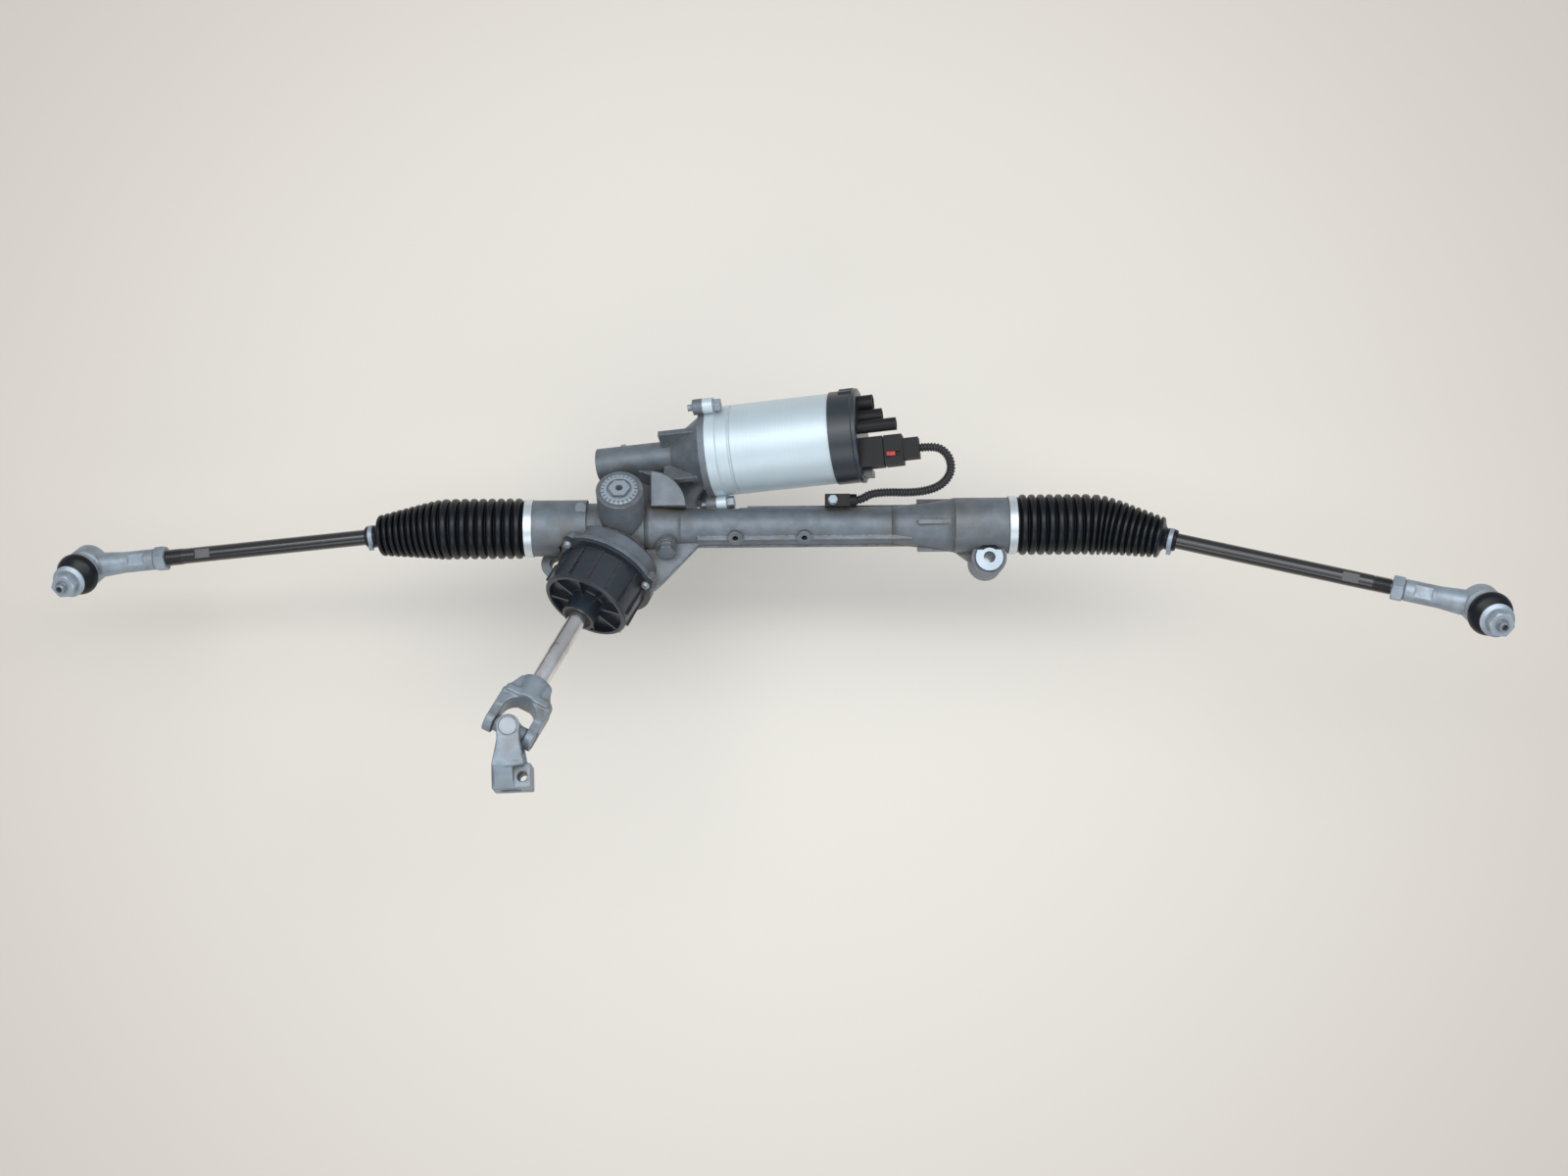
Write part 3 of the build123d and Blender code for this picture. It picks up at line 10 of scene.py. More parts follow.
import bmesh
import bpy
from mathutils import Matrix, Vector
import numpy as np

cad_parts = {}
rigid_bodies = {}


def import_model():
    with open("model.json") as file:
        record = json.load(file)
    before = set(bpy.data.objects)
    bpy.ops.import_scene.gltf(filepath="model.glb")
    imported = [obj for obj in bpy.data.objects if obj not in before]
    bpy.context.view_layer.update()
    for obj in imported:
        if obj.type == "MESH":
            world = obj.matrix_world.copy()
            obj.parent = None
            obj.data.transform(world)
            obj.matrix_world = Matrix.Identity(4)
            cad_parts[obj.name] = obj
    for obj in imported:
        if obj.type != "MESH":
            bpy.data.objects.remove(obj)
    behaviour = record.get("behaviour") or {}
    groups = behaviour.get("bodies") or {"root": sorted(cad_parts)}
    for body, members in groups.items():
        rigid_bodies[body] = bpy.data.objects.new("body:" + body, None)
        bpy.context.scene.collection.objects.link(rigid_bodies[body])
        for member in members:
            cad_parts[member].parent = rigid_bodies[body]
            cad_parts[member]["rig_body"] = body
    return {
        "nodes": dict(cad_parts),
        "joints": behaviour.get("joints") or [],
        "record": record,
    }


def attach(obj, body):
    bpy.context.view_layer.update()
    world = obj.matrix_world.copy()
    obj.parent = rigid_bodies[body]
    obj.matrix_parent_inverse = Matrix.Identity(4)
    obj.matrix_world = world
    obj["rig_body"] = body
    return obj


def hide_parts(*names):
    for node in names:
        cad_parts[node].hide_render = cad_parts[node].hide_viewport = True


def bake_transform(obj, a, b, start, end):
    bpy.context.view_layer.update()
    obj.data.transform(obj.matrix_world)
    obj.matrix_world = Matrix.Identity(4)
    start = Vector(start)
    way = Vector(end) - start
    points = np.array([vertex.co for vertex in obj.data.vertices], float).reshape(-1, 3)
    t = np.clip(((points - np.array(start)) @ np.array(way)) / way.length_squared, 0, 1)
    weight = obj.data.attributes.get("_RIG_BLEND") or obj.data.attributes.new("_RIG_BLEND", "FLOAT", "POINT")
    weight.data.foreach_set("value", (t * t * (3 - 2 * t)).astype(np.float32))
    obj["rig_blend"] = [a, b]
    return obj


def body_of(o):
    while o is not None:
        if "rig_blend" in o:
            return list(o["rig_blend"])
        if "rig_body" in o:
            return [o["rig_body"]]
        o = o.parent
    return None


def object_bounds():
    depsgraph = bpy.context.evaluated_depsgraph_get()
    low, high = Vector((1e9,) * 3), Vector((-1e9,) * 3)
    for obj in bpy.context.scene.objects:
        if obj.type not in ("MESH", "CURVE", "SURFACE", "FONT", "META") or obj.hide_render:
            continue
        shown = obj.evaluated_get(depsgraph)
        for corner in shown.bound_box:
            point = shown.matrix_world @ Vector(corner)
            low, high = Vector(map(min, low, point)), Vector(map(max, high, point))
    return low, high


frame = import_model()
cad_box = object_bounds()
nodes = frame["nodes"]
joints = {joint["name"]: joint for joint in frame["joints"]}
mounts = {mount["name"]: mount for mount in frame["record"]["mounts"]}

# %% [markdown]
# The camera looks almost straight down on the rack, from in front, as the photographer did. It is
# set by the point it looks at, its distance, and a small roll that lets the rack rise to the right.

# %% Camera
LOOK_AT = Vector((0.0112, -0.0246, 0.034))
CAMERA_DISTANCE = 1.85
CAMERA_ELEVATION = radians(83)
CAMERA_ROLL = radians(0.45)
CAMERA_LENS = 47.84
CAMERA_REACH = 20

toward_camera = Vector((0, -cos(CAMERA_ELEVATION), sin(CAMERA_ELEVATION)))
level_up = Vector((0, sin(CAMERA_ELEVATION), cos(CAMERA_ELEVATION)))
camera_right = Vector((cos(CAMERA_ROLL), 0, 0)) - level_up * sin(CAMERA_ROLL)
camera_up = level_up * cos(CAMERA_ROLL) + Vector((sin(CAMERA_ROLL), 0, 0))
camera = bpy.data.objects.new("camera", bpy.data.cameras.new("camera"))
camera.data.lens = CAMERA_LENS
camera.data.clip_end = CAMERA_REACH
turn = Matrix((camera_right, camera_up, toward_camera)).transposed().to_4x4()
camera.matrix_world = Matrix.Translation(LOOK_AT + toward_camera * CAMERA_DISTANCE) @ turn
bpy.context.scene.collection.objects.link(camera)
bpy.context.scene.camera = camera
print("camera at", [round(value, 3) for value in camera.matrix_world.translation])

# %% [markdown]
# Most of what is added here is round. One helper puts a skin over rings that may follow a curved
# centre line, and another turns a profile of (radius, height) points about a straight axis. Skins
# between rings are all quads, so they shade smoothly.

# %% Helpers for ringed meshes
NEARLY_UPRIGHT = 0.2


def add_mesh(name, points, faces, smooth=True):
    mesh = bpy.data.meshes.new(name)
    mesh.from_pydata([tuple(point) for point in points], [], faces)
    mesh.polygons.foreach_set("use_smooth", [smooth] * len(mesh.polygons))
    mesh.update()
    piece = bpy.data.objects.new(name, mesh)
    bpy.context.scene.collection.objects.link(piece)
    return piece


def side_axes(direction):
    """Two directions square to the given one and to each other, also where it is upright."""
    across = Vector((0, 0, 1)).cross(direction)
    if across.length < NEARLY_UPRIGHT:
        across = Vector((1, 0, 0)).cross(direction)
    across.normalize()
    return across, direction.cross(across).normalized()


def ring_faces(rings, segments, closed=False):
    """The quads between neighbouring rings of points; closed joins the last ring to the first."""
    faces = []
    for ring in range(rings if closed else rings - 1):
        low, high = ring * segments, (ring + 1) % rings * segments
        for step in range(segments):
            after = (step + 1) % segments
            faces.append((low + step, low + after, high + after, high + step))
    return faces


def end_caps(rings, segments):
    """The two faces that close the first and the last ring."""
    last = (rings - 1) * segments
    return [tuple(reversed(range(segments))), tuple(range(last, last + segments))]


def ringed(name, rings, segments, closed=False):
    """A skin over rings of (centre, direction, radius)."""
    points = []
    for centre, direction, radius in rings:
        across, along = side_axes(direction)
        for step in range(segments):
            angle = 2 * pi * step / segments
            points.append(centre + (across * cos(angle) + along * sin(angle)) * radius)
    return add_mesh(name, points, ring_faces(len(rings), segments, closed))


def turned(name, origin, direction, profile, segments=64, closed=False):
    """A profile of (radius, height) points turned about an axis."""
    rings = [(origin + direction * height, direction, radius) for radius, height in profile]
    return ringed(name, rings, segments, closed)


def rounded(points, steps=6):
    """A smooth curve through (radius, height) points, as a list of more points."""
    curve = []
    padded = [points[0], *points, points[-1]]
    for a, b, c, d in zip(padded, padded[1:], padded[2:], padded[3:]):
        for step in range(steps):
            t = step / steps
            curve.append(tuple(
                0.5 * (2 * q + (r - p) * t + (2 * p - 5 * q + 4 * r - s) * t * t
                       + (3 * q - p - 3 * r + s) * t ** 3)
                for p, q, r, s in zip(a, b, c, d)
            ))
    return curve + [points[-1]]


# %% [markdown]
# The lead from the torque sensor is a loop of corrugated conduit between the control unit's plug
# and a connector on the housing. It leaves the plug straight, between the two distances beyond
# the control unit that PLUG_REACH gives. From there its route is a smooth curve steered by given
# points, and the ribbed tube follows points read from that curve.

# %% The sensor lead
LEAD_DIAMETER = 0.008
LEAD_RIB_PITCH = 0.0026
LEAD_RIB_DEPTH = 0.0012
LEAD_RIB_SHAPE = 1.6
RINGS_PER_RIB = 8
MOTOR_DIR = Vector(joints["motor_spin"]["axis"])
WORM_CENTRE = Vector(joints["motor_spin"]["pos_m"])
CAP_X = (Vector((0, 1, 0)) - MOTOR_DIR * MOTOR_DIR.y).normalized()
CAP_Y = MOTOR_DIR.cross(CAP_X).normalized()
ECU_END = 0.203
PLUG_X, PLUG_Y = -0.020, 0.017
PLUG_REACH = (0.047, 0.056)
ROUTE_STEPS = 24
LEAD_ROUTE = [
    (0.1490, 0.0905, 0.0860),
    (0.1570, 0.0820, 0.0830),
    (0.1580, 0.0700, 0.0775),
    (0.1500, 0.0605, 0.0710),
    (0.1370, 0.0565, 0.0650),
    (0.1210, 0.0558, 0.0605),
    (0.1040, 0.0572, 0.0565),
    (0.0880, 0.0564, 0.0530),
    (0.0800, 0.0515, 0.0490),
    (0.0721, 0.0510, 0.0485),
]


def cap_place(x, y, along):
    """A place on the control unit: x towards the rear, y up, along the motor's axis."""
    return WORM_CENTRE + CAP_X * x + CAP_Y * y + MOTOR_DIR * along


def smooth_route(points):
    """Points read from a smooth curve that the route's points steer."""
    curve = bpy.data.curves.new("route", "CURVE")
    curve.dimensions = "3D"
    curve.resolution_u = ROUTE_STEPS
    spline = curve.splines.new("NURBS")
    spline.points.add(len(points) - 1)
    for target, point in zip(spline.points, points):
        target.co = (*point, 1)
    spline.order_u = 3
    spline.use_endpoint_u = True
    holder = bpy.data.objects.new("route", curve)
    bpy.context.scene.collection.objects.link(holder)
    bpy.context.view_layer.update()
    mesh = bpy.data.meshes.new_from_object(holder)
    read = [vertex.co.copy() for vertex in mesh.vertices]
    bpy.data.objects.remove(holder)
    bpy.data.meshes.remove(mesh)
    return read


def even_path(points, spacing):
    """The same path with points at an even spacing, and its length."""
    lengths = [0.0]
    for before, after in zip(points, points[1:]):
        lengths.append(lengths[-1] + (after - before).length)
    count = int(lengths[-1] / spacing)
    path = []
    run = 0
    for step in range(count + 1):
        at = lengths[-1] * step / count
        while run < len(points) - 2 and lengths[run + 1] < at:
            run += 1
        share = (at - lengths[run]) / max(1e-9, lengths[run + 1] - lengths[run])
        path.append(points[run].lerp(points[run + 1], share))
    return path, lengths[-1]


def path_directions(path):
    last = len(path) - 1
    return [(path[min(last, i + 1)] - path[max(0, i - 1)]).normalized() for i in range(last + 1)]


def tube_along(name, path, radii, segments=24):
    """A tube whose side directions are carried along the path, so that it never twists."""
    directions = path_directions(path)
    side, _ = side_axes(directions[0])
    points = []
    for centre, direction, radius in zip(path, directions, radii):
        side = (side - direction * side.dot(direction)).normalized()
        other = direction.cross(side)
        for step in range(segments):
            angle = 2 * pi * step / segments
            points.append(centre + (side * cos(angle) + other * sin(angle)) * radius)
    faces = ring_faces(len(path), segments) + end_caps(len(path), segments)
    return add_mesh(name, points, faces)


def lead_radius(ring):
    """The conduit's radius at one ring of its path: wide ribs with narrow grooves between them."""
    groove = 0.5 - 0.5 * cos(2 * pi * ring / RINGS_PER_RIB)
    return LEAD_DIAMETER / 2 - LEAD_RIB_DEPTH * groove ** LEAD_RIB_SHAPE


route = [cap_place(PLUG_X, PLUG_Y, ECU_END + reach) for reach in PLUG_REACH]
route += [Vector(point) for point in LEAD_ROUTE]
lead_path, lead_length = even_path(smooth_route(route), LEAD_RIB_PITCH / RINGS_PER_RIB)
lead_radii = [lead_radius(ring) for ring in range(len(lead_path))]
lead = tube_along("conduit", lead_path, lead_radii)
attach(lead, "housing")
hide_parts("sensor_lead")
print("lead length", round(lead_length, 4), "rings", len(lead_path))

# %% [markdown]
# Each bellows boot is one rubber moulding that starts as a straight bellows on the housing's lip,
# bends round the inner ball and narrows to a neck on the tie rod. On the car it does two things:
# it shortens as the rack slides, and its tail swings with the tie rod. Two skins do that here. The
# long one blends from the housing to the rack, and the short tail blends from the rack to the rod.
# The collar's edge, the neck's fall, its ridges and the mouth are tables of two lengths each: how
# far along the boot, and either a radius or the step from the radius named with them.

# %% Bellows boots
HOUSING_END = 0.211
LIP_LENGTH = 0.008
LIP_GAP = 0.001
BOOT_CREST_R = 0.027
BOOT_TAIL_CREST_R = 0.018
BOOT_FOLD_DEPTH = 0.0048
BOOT_COLLAR_R = 0.0250
BOOT_COLLAR_EDGE = [(0.0003, 0.0012), (0.0005, 0.0004), (0.0010, 0.0), (0.0014, 0.0002)]
BOOT_COLLAR_END = (0.0006, 0.0002)
BOOT_NECK_R = 0.0092
BOOT_NECK_FALL = [(0.0, 0.0132), (0.0012, 0.0108)]
BOOT_NECK_START = (0.0024, 0.0004)
NECK_RIDGES = 4
NECK_RIDGE_START, NECK_RIDGE_PITCH = 0.0032, 0.0021
NECK_RIDGE = [(0.0, 0.0), (0.0006, 0.0006), (0.0013, 0.0006), (0.0019, 0.0)]
BOOT_MOUTH = [(0.0004, 0.0012), (0.0, 0.0004)]
BOOT_END = 0.362
BOOT_NECK_LENGTH = 0.012
ROD_R = 0.007
INNER_FOLDS = 9
OUTER_FOLDS = 10
FOLD_STEPS = 16
FOLD_SHAPE = 3.2
BEND_HALF = 0.016
BLEND_SPLIT = 0.094
BOOT_SEGMENTS = 80
BOOT_NUDGE = 0.0005


class End:
    """One end of the rack, with its places read from the joints."""

    def __init__(self, name, sign):
        self.name = name
        self.inner_ball = Vector(joints[f"tie_rod_{name}_swing"]["pos_m"])
        self.outer_ball = Vector(joints[f"ball_stud_{name}_swing"]["pos_m"])
        self.rod = (self.outer_ball - self.inner_ball).normalized()
        stud_label = next(label for label in mounts if label.startswith(f"{name}_stud"))
        self.stud = Vector(mounts[stud_label]["axis"]).normalized()
        self.axis = Vector((sign, 0, 0))
        self.straight = abs(self.inner_ball.x) - HOUSING_END

    def boot_point(self, along):
        """The boot's centre line: straight, a short bend round the ball, then along the rod."""
        low, high = self.straight - BEND_HALF, self.straight + BEND_HALF
        if along <= low:
            return self.inner_ball + self.axis * (along - self.straight)
        if along >= high:
            return self.inner_ball + self.rod * (along - self.straight)
        t = (along - low) / (high - low)
        start = self.inner_ball - self.axis * BEND_HALF
        end = self.inner_ball + self.rod * BEND_HALF
        return start * (1 - t) ** 2 + self.inner_ball * 2 * t * (1 - t) + end * t * t


ENDS = [End("left", -1), End("right", 1)]


def fold(start, pitch, crest, following_crest):
    """One fold: a narrow valley, two flanks and a wide round crest."""
    points = []
    for step in range(FOLD_STEPS):
        u = step / FOLD_STEPS
        outer = crest + (following_crest - crest) * u
        depth = BOOT_FOLD_DEPTH * abs(2 * u - 1) ** FOLD_SHAPE
        points.append((start + u * pitch, outer - depth))
    return points


def boot_profile(straight):
    """(distance along the boot, radius) from the collar to the neck."""
    seat = LIP_LENGTH + LIP_GAP
    profile = [(along, BOOT_COLLAR_R - inward) for along, inward in BOOT_COLLAR_EDGE]
    profile.append((seat - BOOT_COLLAR_END[0], BOOT_COLLAR_R - BOOT_COLLAR_END[1]))
    pitch = (straight - seat) / INNER_FOLDS
    for index in range(INNER_FOLDS):
        profile += fold(seat + index * pitch, pitch, BOOT_CREST_R, BOOT_CREST_R)
    tail_length = BOOT_END - HOUSING_END - straight - BOOT_NECK_LENGTH
    pitch = tail_length / OUTER_FOLDS
    fall = (BOOT_CREST_R - BOOT_TAIL_CREST_R) / OUTER_FOLDS
    for index in range(OUTER_FOLDS):
        crest = BOOT_CREST_R - fall * index
        profile += fold(straight + index * pitch, pitch, crest, crest - fall)
    neck = straight + tail_length
    profile += [(neck + along, radius) for along, radius in BOOT_NECK_FALL]
    profile.append((neck + BOOT_NECK_START[0], BOOT_NECK_R + BOOT_NECK_START[1]))
    for ridge in range(NECK_RIDGES):
        at = neck + NECK_RIDGE_START + ridge * NECK_RIDGE_PITCH
        profile += [(at + along, BOOT_NECK_R + rise) for along, rise in NECK_RIDGE]
    mouth = neck + BOOT_NECK_LENGTH
    profile.append((mouth, BOOT_NECK_R))
    profile += [(mouth + along, ROD_R + gap) for along, gap in BOOT_MOUTH]
    return profile


def boot_rings(end, profile):
    """The profile's rings along the boot's bent centre line, each square to the line there."""
    rings = []
    for along, radius in profile:
        ahead = end.boot_point(along + BOOT_NUDGE) - end.boot_point(along - BOOT_NUDGE)
        rings.append((end.boot_point(along), ahead.normalized(), radius))
    return rings


def make_boot(end):
    """The two skins of one boot, which meet where BLEND_SPLIT says."""
    profile = boot_profile(end.straight)
    split = min(range(len(profile)), key=lambda i: abs(profile[i][0] - BLEND_SPLIT))
    rings = boot_rings(end, profile)
    body = ringed(f"boot_bellows_{end.name}", rings[: split + 1], BOOT_SEGMENTS)
    tail = ringed(f"boot_tail_{end.name}", rings[split:], BOOT_SEGMENTS)
    lip_end = end.boot_point(LIP_LENGTH)
    middle = end.boot_point(BLEND_SPLIT)
    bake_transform(body, "housing", "rack", start=lip_end, end=middle)
    neck = end.boot_point(BOOT_END - HOUSING_END - BOOT_NECK_LENGTH)
    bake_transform(tail, "rack", f"tie_rod_{end.name}", start=middle, end=neck)
    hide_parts(f"boot_{end.name}")
    return [body, tail]


boots = [piece for end in ENDS for piece in make_boot(end)]
print("boot skins", [piece.name for piece in boots])

# %% [markdown]
# A small rubber boot keeps dirt out of each outer ball joint. It is fixed to the rod end at its
# wide foot and to the stud at its narrow top, so it blends across the ball joint. A wire ring in
# a groove holds the foot.

# %% Ball joint boots
BALL_BOOT_PROFILE = [
    (0.0148, 0.0118), (0.0160, 0.0124), (0.0162, 0.0136), (0.0156, 0.0146), (0.0176, 0.0158),
    (0.0192, 0.0182), (0.0190, 0.0212), (0.0172, 0.0245), (0.0136, 0.0275), (0.0108, 0.0296),
    (0.0098, 0.0308), (0.0104, 0.0318), (0.0104, 0.0330), (0.0094, 0.0340), (0.0076, 0.0346),
]
BALL_BOOT_FOOT, BALL_BOOT_TOP = 0.0150, 0.0300
WIRE_RING_R, WIRE_RING_HEIGHT = 0.0160, 0.0130
WIRE_R, WIRE_SIDES = 0.0006, 10


def wire_point(side):
    """One corner of the wire's round section, as (radius, height)."""
    angle = 2 * pi * side / WIRE_SIDES
    return WIRE_RING_R + WIRE_R * cos(angle), WIRE_RING_HEIGHT + WIRE_R * sin(angle)


def make_ball_boot(end):
    boot = turned(f"dust_boot_{end.name}", end.outer_ball, end.stud, rounded(BALL_BOOT_PROFILE))
    low = end.outer_ball + end.stud * BALL_BOOT_FOOT
    high = end.outer_ball + end.stud * BALL_BOOT_TOP
    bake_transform(boot, f"tie_rod_{end.name}", f"ball_stud_{end.name}", start=low, end=high)
    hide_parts(f"ball_boot_{end.name}")
    wire = [wire_point(side) for side in range(WIRE_SIDES)]
    ring = turned(f"dust_boot_wire_{end.name}", end.outer_ball, end.stud, wire, closed=True)
    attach(ring, f"tie_rod_{end.name}")
    return boot, ring


ball_boots, wire_rings = zip(*[make_ball_boot(end) for end in ENDS])
print("ball boots", [boot.name for boot in ball_boots])

# %% [markdown]
# Threads catch light in fine lines, so the two that show are modelled: the tie rod's thread beside
# the jam nut, and the last turn of each stud's thread, between its nut and its plain point. A
# ridge that climbs round the core by one pitch for each turn makes a true thread.

# %% Threads
ROD_THREAD = (0.2405, 0.2568)
ROD_THREAD_R, ROD_THREAD_PITCH = 0.0065, 0.0015
STUD_THREAD = (0.0496, 0.0508)
STUD_THREAD_R, STUD_THREAD_PITCH = 0.0050, 0.00125
THREAD_SECTION = [(0.0, 0.0), (0.35, 0.62), (0.5, 0.62), (0.85, 0.0)]
THREAD_SINK = 0.0001
THREAD_FADE_RATE = 2


def make_thread(name, origin, direction, low, high, core_r, pitch, segments=32):
    """A ridge that climbs by its pitch each turn and fades out over half a turn at each end."""
    across, along = side_axes(direction)
    points, faces = [], []
    steps = int((high - low) / pitch * segments)
    for step in range(steps + 1):
        angle = 2 * pi * step / segments
        turns_from_end = min(step / segments, (steps - step) / segments)
        fade = min(1.0, turns_from_end * THREAD_FADE_RATE)
        outward = across * cos(angle) + along * sin(angle)
        height = low + (high - low - pitch) * step / steps
        for run, rise in THREAD_SECTION:
            radius = core_r - THREAD_SINK + rise * pitch * fade
            points.append(origin + outward * radius + direction * (height + run * pitch))
    width = len(THREAD_SECTION)
    for step in range(steps):
        for k in range(width - 1):
            a = step * width + k
            faces.append((a, a + 1, a + 1 + width, a + width))
    return add_mesh(name, points, faces)


threads = []
for end in ENDS:
    rod_thread = make_thread(
        f"rod_thread_{end.name}", end.inner_ball, end.rod, *ROD_THREAD, ROD_THREAD_R,
        ROD_THREAD_PITCH,
    )
    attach(rod_thread, f"tie_rod_{end.name}")
    stud_thread = make_thread(
        f"stud_thread_{end.name}", end.outer_ball, end.stud, *STUD_THREAD, STUD_THREAD_R,
        STUD_THREAD_PITCH,
    )
    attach(stud_thread, f"ball_stud_{end.name}")
    threads += [rod_thread, stud_thread]
print("threads", [thread.name for thread in threads])

# %% [markdown]
# The housing is one die casting, and a few of its webs and flares are carried here as closed forms
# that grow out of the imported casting: a quarter-round pad by the tower, a web from the gearbox
# barrel to the tube, and the tapers at both ends of the tube. Heights are over the subframe's
# face. A taper is a profile of (radius, place along the rack), turned about the rack's own line.

# %% Forms of the housing casting
RACK_Y, RACK_Z = 0.0305, 0.0340
PAD_CORNER = (-0.1060, 0.0465)
PAD_R = 0.031
PAD_FOOT, PAD_TOP = 0.004, 0.056
PAD_STEPS = 24
WEB_OUTLINE = [
    (-0.104, -0.026), (-0.097, -0.020), (-0.064, 0.014), (-0.050, 0.020), (-0.125, 0.022),
    (-0.125, -0.008),
]
WEB_HALF = 0.007
LEFT_NECK = [
    (0.0222, -0.112), (0.0218, -0.104), (0.0200, -0.094), (0.0176, -0.084), (0.0169, -0.079),
]
RIGHT_FLARE = [
    (0.0169, 0.106), (0.0178, 0.114), (0.0198, 0.134), (0.0222, 0.152), (0.0243, 0.163),
]
CASTING_RIM = 0.0012
RIM_SHOULDER = 0.3
TIP_R = 0.0001


def prism(name, outline, low, high):
    """An upright prism over an anticlockwise outline, with its top rim drawn in a little."""
    middle = [sum(point[k] for point in outline) / len(outline) for k in range(2)]
    rim, shoulder = CASTING_RIM, CASTING_RIM * RIM_SHOULDER
    levels = [(low, 0.0), (high - rim, 0.0), (high - shoulder, shoulder), (high, rim)]
    points = []
    for height, inward in levels:
        for x, y in outline:
            away = Vector((x - middle[0], y - middle[1]))
            share = 1 - inward / away.length
            points.append((middle[0] + away.x * share, middle[1] + away.y * share, height))
    faces = ring_faces(len(levels), len(outline)) + end_caps(len(levels), len(outline))
    return add_mesh(name, points, faces, smooth=False)


def closed_turned(name, origin, direction, profile, segments=96):
    """A turned profile whose two ends run in to the axis."""
    ends = [(TIP_R, profile[0][1]), *profile, (TIP_R, profile[-1][1])]
    return turned(name, origin, direction, ends, segments)


def pad_point(step):
    """A point on the pad's quarter circle."""
    angle = pi / 2 * step / PAD_STEPS
    return PAD_CORNER[0] + PAD_R * cos(angle), PAD_CORNER[1] + PAD_R * sin(angle)


along_rack = Vector((1, 0, 0))
rack_line = Vector((0, RACK_Y, RACK_Z))
pad_outline = [PAD_CORNER, *[pad_point(step) for step in range(PAD_STEPS + 1)]]
castings = [
    prism("tower_pad", pad_outline, PAD_FOOT, PAD_TOP),
    prism("barrel_web", WEB_OUTLINE, RACK_Z - WEB_HALF, RACK_Z + WEB_HALF),
    closed_turned("tube_neck", rack_line, along_rack, LEFT_NECK),
    closed_turned("tube_flare", rack_line, along_rack, RIGHT_FLARE),
]
for piece in castings:
    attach(piece, "housing")
print("castings", [piece.name for piece in castings])

# %% [markdown]
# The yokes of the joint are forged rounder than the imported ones. A skin stands for each: the
# yoke's own mesh with the forging's arch, shoulder, toes and cheeks laid into it as closed shells,
# then all of it melted together and smoothed. Outlines are given as (across, along) from the
# joint's centre, and each shell's thickness as the two levels it runs between.

# %% Forgings of the joint
YOKE_VOXEL = 0.0007
YOKE_SOFTENING = 12
ARCH_INNER_R, ARCH_OUTER_R = 0.0145, 0.0205
ARCH_CENTRE = 0.0125
ARCH_STEPS = 16
UPPER_ARCH_HALF, LOWER_ARCH_HALF = 0.0100, 0.0095
SHOULDER = [(-0.0215, 0.029), (0.0215, 0.029), (0.0138, 0.047), (-0.0138, 0.047)]
SHOULDER_HALF = 0.0095
TOE = [
    (0.014, 0.022), (0.0223, 0.026), (0.0215, 0.033), (0.0180, 0.041), (0.0156, 0.0505),
    (0.014, 0.0505),
]
TOE_LEVELS = (0.0035, -0.0130)
CHEEK = [(-0.009, 0.008), (0.009, 0.008), (0.0145, 0.033), (-0.0130, 0.033)]
CHEEK_LEVELS = (0.0150, 0.0220)


def slab(across, along, outline, low, high):
    """A closed prism at the joint: an outline in two directions, levels in the third."""
    outward = across.cross(along).normalized()
    points = []
    for level in (low, high):
        points += [joint_centre + across * a + along * b + outward * level for a, b in outline]
    return points, ring_faces(2, len(outline)) + end_caps(2, len(outline))


def arch_curve(radius):
    """A half circle over the ears, from one side of the yoke to the other."""
    angles = [pi * step / ARCH_STEPS for step in range(ARCH_STEPS + 1)]
    return [(radius * cos(angle), ARCH_CENTRE + radius * sin(angle)) for angle in angles]


def merge_shells(mesh, shells, to_local):
    """Adds closed shells to a mesh, so that the remesh that follows melts them into it."""
    work = bmesh.new()
    work.from_mesh(mesh)
    for points, faces in shells:
        corners = [work.verts.new(to_local @ point) for point in points]
        made = [work.faces.new([corners[index] for index in face]) for face in faces]
        bmesh.ops.recalc_face_normals(work, faces=made)
    work.to_mesh(mesh)
    work.free()


def forged(node_name, shells):
    """A skin made from a node's own mesh and more shells, with its edges rounded as by forging."""
    skin = nodes[node_name].copy()
    skin.data = nodes[node_name].data.copy()
    merge_shells(skin.data, shells, nodes[node_name].matrix_world.inverted())
    skin.name = f"{node_name}_forging"
    skin.parent = None
    skin.matrix_world = nodes[node_name].matrix_world
    for key in list(skin.keys()):
        if key.startswith("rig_"):
            del skin[key]
    bpy.context.scene.collection.objects.link(skin)
    remesh = skin.modifiers.new("remesh", "REMESH")
    remesh.mode = "VOXEL"
    remesh.voxel_size = YOKE_VOXEL
    remesh.use_smooth_shade = True
    smooth = skin.modifiers.new("smooth", "SMOOTH")
    smooth.iterations = YOKE_SOFTENING
    bpy.context.view_layer.update()
    evaluated = skin.evaluated_get(bpy.context.evaluated_depsgraph_get())
    mesh = bpy.data.meshes.new_from_object(evaluated)
    skin.modifiers.clear()
    skin.data = mesh
    return skin


